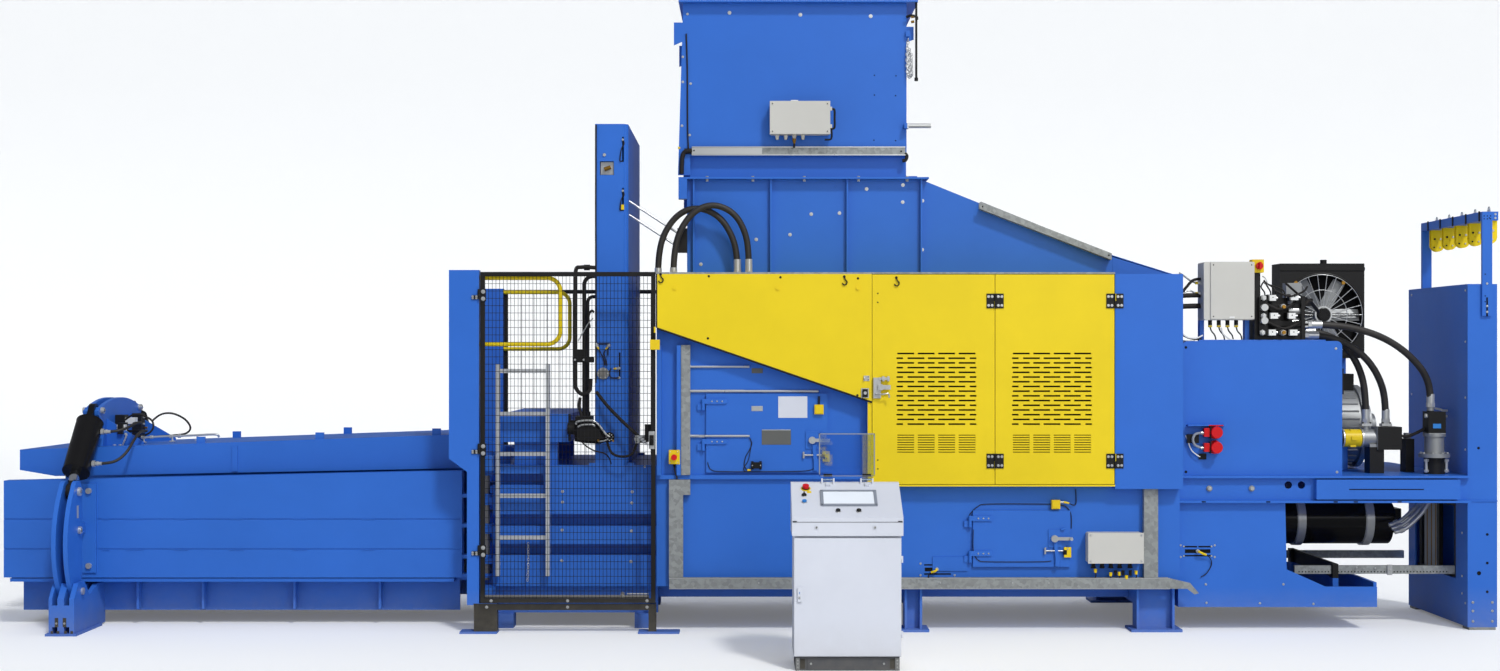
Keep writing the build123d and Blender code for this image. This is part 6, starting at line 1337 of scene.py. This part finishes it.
def makeValves():
    m = Maker()
    for spot in ((3590, 2286, 26), (3740, 2290, 30), (3600, 2163, 30), (3722, 2163, 28), (3587, 2048, 28),
                 (3733, 2048, 30)):
        solenoid(m, *spot)
    for x, z in ((3528, 2286), (3528, 2163), (3520, 2048), (3664, 2048), (3664, 2225)):
        m.rod(zinc, 20, 6, (0, -60, 0), (x, -760, z))
        m.rod(brass if x == 3664 else zinc, 13, 16, (0, -14, 0), (x, -820, z))
    m.box(black, (3476, 3502, -770, -560, 1992, 2300), (3800, 3826, -770, -560, 1992, 2300),
          (3500, 3830, -760, -620, 2092, 2130), (3500, 3800, -740, -620, 2206, 2246))
    # pressure filter heads
    m.box(cast, (3770, 3880, -500, -410, 2290, 2400), (3760, 3866, -520, -420, 2176, 2240))
    m.rod(cast, 34, 24, (0, 0, -44), (3826, -455, 2290))
    m.rod(plug, 15, 16, (62, 0, 20), (3898, -470, 2260))
    m.box(plug, (3900, 3960, -500, -430, 2240, 2290))
    for x, z in ((3560, 2345), (3600, 2352), (3640, 2340), (3700, 2330)):
        m.pipe(rubber, 5, 8,
               [(x, -720, z - 60), (x - 6, -740, z - 20), (x - 30, -740, z + 20), (3556, -725, z + 60)])
    for x0, x1, z, radius in ((3540, 3720, 2250, 9), (3560, 3760, 2120, 8), (3600, 3800, 2340, 7)):
        m.pipe(rubber, radius, 10, [(x0, -810, z), ((x0 + x1) / 2, -826, z - 42), (x1, -806, z - 12),
                                    (x1 + 60, -700, z + 26)])
    m.pipe(rubber, 13, 12, [(3820, -690, 2210), (3860, -700, 2260), (3900, -640, 2265), (3960, -540, 2230),
                            (4020, -420, 2200)])
    m.pipe(rubber, 8, 10, [(3700, -740, 2390), (3780, -700, 2330), (3850, -600, 2300), (3900, -560, 2290)])
    for x, z in ((3545, 2440), (3552, 2410)):
        m.pipe(zinc, 3.5, 8, [(x, -715, z), (x + 20, -730, z - 20), (x + 34, -730, z - 60)])
    m.rod(zinc, 38, 6, (26, 0, 0), *[(3832, y, z) for y, z in pack["unions"]])
    m.rod(red, 9, 12, (8, 0, 0), (3462, -720, 2300))
    m.save("valveRows", "machine", 1.6, "black_steel")
    y = pack["boxFront"] - 9
    m = Maker()
    m.box(grey, (3160, 3462, y, y + 9, 2138, 2532))
    m.save("switchBoxDoor", "machine", 4, "light_grey")
    m = Maker()
    # painted shade: near black discs in the door's corner screw holes
    m.screws(shadeFill, y, 5, 1, *[(x, z) for x in (3180, 3442) for z in (2158, 2512)])
    m.box(coil, (3290, 3325, y - 3, y, 2146, 2158))
    for x in (3180, 3240, 3300, 3360):
        m.rod(tag, 15, 12, (0, 0, -13), (x, -730, 2099))
        m.pipe(rubber, 5, 8,
               [(x, -730, 2090), (x + 8, -736, 2060), (x + 30, -740, 2030), (x + 40, -735, 1994)])
    m.pipe(coil, 6, 8, [(3250, -760, 2080), (3262, -770, 2040), (3300, -780, 2005), (3332, -782, 1996)])
    for z, end in ((2392, 2440), (2320, 2330)):  # cable glands on the box's left side
        m.rod(zinc, 15, 6, (-18, 0, 0), (3116, -720, z))
        m.rod(tag, 10, 12, (-18, 0, 0), (3098, -720, z))
        m.pipe(zinc, 6, 8,
               [(3080, -720, z), (3040, -724, z + 20), (3000, -730, end), (2962, -760, end + 20)])
    for z, radius in ((2300, 16), (2226, 18)):
        m.pipe(rubber, radius, 14,
               [(2944, -740, z), (3000, -740, z + 4), (3060, -736, z + 6), (3140, -700, z + 8)])
        m.rod(zinc, radius + 6, 6, (20, 0, 0), (2944, -740, z))
    m.pipe(rubber, 10, 12, [(2950, -760, 2290), (3010, -750, 2360), (3060, -744, 2410), (3130, -720, 2420)])
    m.pipe(coil, 5, 8, [(2950, -790, 2160), (2962, -795, 2070), (3000, -795, 2020), (3070, -790, 2010),
                        (3118, -780, 2030)])
    m.pipe(rubber, 7, 10, [(2950, -780, 2120), (2970, -785, 2040), (3040, -785, 2006), (3110, -780, 2004)])
    # tank front: corner screws, shelf, coupling sockets with caps and grey conduit
    tank = pack["tankFront"]
    # painted shade: near black discs in place of the shade in two holes
    m.screws(shadeFill, tank, 10, 1.2, (2997, 1946), (2997, 1090))
    m.screws(zinc, tank, 10, 3, (4029, 1938), (4036, 1088))
    m.box(zinc, (2990, 3060, tank - 2, tank + 60, 1990, 1996))
    m.rod(blue, 6, 10, (870, 0, 0), (3090, -790, 1993))
    for z in (1261, 1364):
        m.box(red, (3108, 3152, -866, -822, z - 30, z + 30))
        m.rod(red, 42, 32, (0, -16, 0), (3190, -880, z), tip=38)
        m.box(plug, (3146, 3156, -872, -830, z - 40, z + 40))
        m.rod(red, 7, 12, (0, 22, 8), (3190, -872, z + 38))
        m.rod(zinc, 12, 12, (-20, 0, 0), (3108, -844, z - 4))
    m.pipe(trim, 9, 12, [(3090, -844, 1360), (3050, -846, 1350), (3034, -848, 1316), (3048, -846, 1278),
                         (3090, -844, 1257)])
    m.pipe(coil, 4, 8, [(2994, -804, 1340), (3008, -820, 1300), (3030, -826, 1240), (3078, -828, 1200),
                        (3090, -815, 1196)])
    m.box(plug, (3084, 3136, -808, -800, 1176, 1215))
    # deck and side plate screws, slot in the cover plate; the slots and a row of holes are painted shade,
    # near black insets
    deck = pack["deckFront"]
    for x in (3156, 3447):
        m.rod(cast, 20, 20, (0, -10, 0), (x, deck + 44, 977))
        m.rod(zinc, 13, 6, (0, -10, 0), (x, deck + 34, 977))
    m.box(shadeFill, (4101, 4614, pack["coverFront"] - 0.8, pack["coverFront"] + 0.5, 970, 977),
          *[(x - 14, x + 14, deck - 0.8, deck + 0.5, 883, 892) for x in (3108, 3550, 4012, 4150, 4450)])
    m.screws(zinc, deck + 44, 9, 4, (4700, 1000), (4852, 1000), (4700, 950))
    m.screws(zinc, tank, 9, 3.5, (3134, 317), (3668, 317), (3139, 190), (3506, 187), (3874, 183))
    # painted shade: near black discs in a row of holes
    m.rod(shadeFill, 5, 8, (0, 1.6, 0), *[(3850 + 23 * i, -541, 374) for i in range(46)])
    m.box(zinc, (4466, 4500, -552, -538, 352, 424))
    m.screws(zinc, -552, 7, 3, (4250, 405), (4380, 402), (4483, 388))
    for i, y in enumerate((-420, -360, -300)):  # return pipes rising behind the accumulator
        m.pipe(zinc, 15, 14, [(4560, 640 + 20 * i), (4640, 668 + 20 * i), (4740, 760 + 18 * i), (4800, 850),
                              (4806, 884)], y)
        m.rod(zinc, 21, 6, (30, 0, 12), (4596, y, 650 + 20 * i))
    m.save("powerPackFittings", "machine", 1.0, "light_grey")


def makeFanAndMotors():
    shape = bpy.data.meshes.new("guardSeed")
    shape.from_pydata([(0, 0, 0)], [], [])
    grow("fanGuardWires", "machine", spokeTree(),
         {"Wires": pack["guardWires"], "Reach": pack["guardReach"] / 1000,
          "Finish": finish(zinc)}, shape)
    x, y, z = pack["fan"]
    m = Maker()
    ring = around("y", (x, y - 4, z), 300, 40)  # shroud ring around the fan opening, in short chords
    for start, end in zip(ring, ring[1:] + ring[:1]):
        m.rod(black, 8, 8, end - start, start)
    m.rod(plug, 52, 32, (0, -22, 0), (x, y - 40, z), tip=44)
    m.rod(plug, 7, 10, (0, -4, 0), *around("y", (x, y - 62, z), 30, 8))
    m.rod(brass, 13, 16, (0, -16, 0), (x - 195, y - 6, z + 232), (x + 150, y - 6, z + 232))
    m.box(black, (3858, 4477, y - 8, y, 1888, 1912), (3858, 4477, y - 8, y, 2508, 2532))
    # painted shade: near black sheet behind the fan, where there is only shade
    m.box(shadeFill, (3895, 4440, 60, 64, 1895, 2505))
    x, y, z = pack["motor"]
    m.rod(zinc, 15, 6, (12, 0, 0), *around("x", (x, y, z), 268, 12))
    for start, end in zip(around("x", (x, y, z), 185, 8), around("x", (x + 60, y, z), 170, 8)):
        m.rod(cast, 14, 8, end - start, start)
    m.rod(cast, 7, 6, (620, 0, 0), *around("x", (3760, y, z), 281, 30))  # cooling ribs on the motor shell
    m.box(black, (4090, 4300, -330, -160, 1640, 1760))
    m.rod(zinc, 66, 36, (10, 0, 0), (4159, -500, 1310), (4291, -500, 1310))
    m.rod(zinc, 7, 6, (16, 0, 0), *around("x", (4300, -500, 1310), 52, 6, 15))
    for x in (4330, 4470):  # flanges and ferrules of the pump hoses
        m.box(zinc, (x - 36, x + 36, -530, -470, 1394, 1412))
        m.rod(zinc, 30, 6, (0, 0, 34), (x, -500, 1412))
        m.rod(zinc, 27, 24, (0, 0, 66), (x, -500, 1446))
        m.rod(black, 6, 6, (0, 0, 10), (x - 26, -520, 1412), (x + 26, -520, 1412))
    m.rod(zinc, 30, 6, (0, 0, 32), (4750, -600, 1530))
    m.rod(zinc, 27, 24, (0, 0, 60), (4750, -600, 1562))
    x, y = pack["upright"]
    m.rod(zinc, 11, 12, (0, 0, 97), (x - 70, y - 40, 1075), (x + 70, y - 40, 1075))
    m.rod(zinc, 18, 6, (0, 0, 16), *[(x + dx, y - 40, z) for dx in (-70, 70) for z in (1080, 1152)])
    m.rod(zinc, 8, 6, (0, 0, 10), *around("z", (x, y, 1206), 88, 8, 20))
    m.rod(cast, 76, 32, (0, 0, 19), (x, y, 1325))
    m.box(button, (x - 30, x + 26, y - 61.5, y - 60, 1384, 1416))
    m.rod(zinc, 16, 6, (16, 0, 0), (4700, -632, 1470))
    m.pipe(rubber, 11, 12, [(4560, -510, 1330), (4610, -530, 1322), (4670, -560, 1350), (4716, -580, 1380)])
    # ferrules at the valve block's end and at the hood's hoses
    m.rod(zinc, 29, 6, (30, 0, 0), *[(3858, y, z) for y, z in pack["unions"]])
    m.rod(zinc, 27, 24, (72, 0, 0), *[(3888, y, z) for y, z in pack["unions"]])
    for x, y, top in ((-640, -620, 2500), (-88, -630, 2560), (-530, -690, 2500), (-8, -660, 2560)):
        m.rod(zinc, 29, 6, (0, 0, 19), (x, y, 2457))
        m.rod(zinc, 25, 24, (0, 0, top - 2476), (x, y, 2476))
    m.save("motorFittings", "machine", 0.8, "alloy")


# Wire cabinet: pulley guard screws, eye nuts, drilled posts, brake rack in the side opening
cabinet = {"front": -780, "postFront": -800, "left": 4942, "pulleys": (250, 0, -250, -500, -750),
"sideScrews": (
               (-740, 2340), (-740, 1985), (-740, 1599), (-740, 1240), (-740, 905), (-600, 905), (-640, 880),
               (330, 2340), (330, 1600), (330, 905), (-680, 660), (-680, 360), (-680, 240), (-740, 180))}


def makeCabinet():
    face, post, left = cabinet["front"], cabinet["postFront"], cabinet["left"]
    m = Maker()
    # painted shade: near black discs in the open holes of the side
    m.screws(shadeFill, face, 10, 1, (5017, 1253), (5077, 658), (5077, 461), (5077, 263))
    m.screws(shadeFill, face, 15, 1, (5020, 391))
    m.screws(zinc, face, 10, 4, *[(x, z) for x in (4978, 5112) for z in (190, 131, 60)])
    # painted shade: near black discs in the drilled holes of the posts
    m.screws(shadeFill, post, 5, 0.8, *[(x, z) for x in (5048, 5070, 5092) for z in (2850, 2830)],
             (5055, 2450), (5055, 2300), (5055, 2260), (5084, 2836))
    m.screws(zinc, post, 9, 4, (5068, 2385), (5068, 2230), (5068, 2190), (5125, 2862), (5125, 2836))
    # painted shade: near black inset in a slot
    m.box(shadeFill, (5062, 5074, post - 0.8, post + 0.5, 2160, 2290))
    for y in cabinet["pulleys"]:
        for x, name in ((5076, plug), (5120, zinc)):
            m.rod(name, 8, 6, (0, -6, 0), (x, y - 21, 2752))
            m.rod(name, 6, 6, (0, -6, 0), (x - 4, y - 21, 2690))
        m.rod(zinc, 11, 6, (0, 0, 16), (5100, y, 2880))
        m.pipe(zinc, 4, 8, [(5100, y - 8, 2890), (5100, y - 14, 2904), (5100, y, 2916), (5100, y + 14, 2904),
                            (5100, y + 8, 2890)])
        m.box(black, (5030, 5036, y - 10, y + 10, 2815, 2885))
    m.rod(zinc, 9, 12, (-5, 0, 0), *[(left, y, z) for y, z in cabinet["sideScrews"]], tip=7)
    # handle bracket on the left side
    m.rod(zinc, 8, 10, (-30, 0, 0), (left, -400, 1460), (left, -400, 1500))
    m.pipe(zinc, 8, 10, [(left - 30, -400, 1460), (left - 34, -400, 1500), (left - 30, -250, 1510)])
    m.box(black, *[(4962, 4990, y, y + 46, 336, 856) for y in (-520, -180, 180)],
          (4958, 4996, -555, 255, 832, 856), (4958, 4996, -555, 255, 334, 352))
    for k in range(12):
        m.box(brass if k % 4 == 1 else blank, (4966, 4974, -120 + k * 22, -112 + k * 22, 345, 850))
    m.save("cabinetFittings", "machine", 0.8, "zinc")


makeValves()
makeFanAndMotors()
makeCabinet()
print("power pack made")
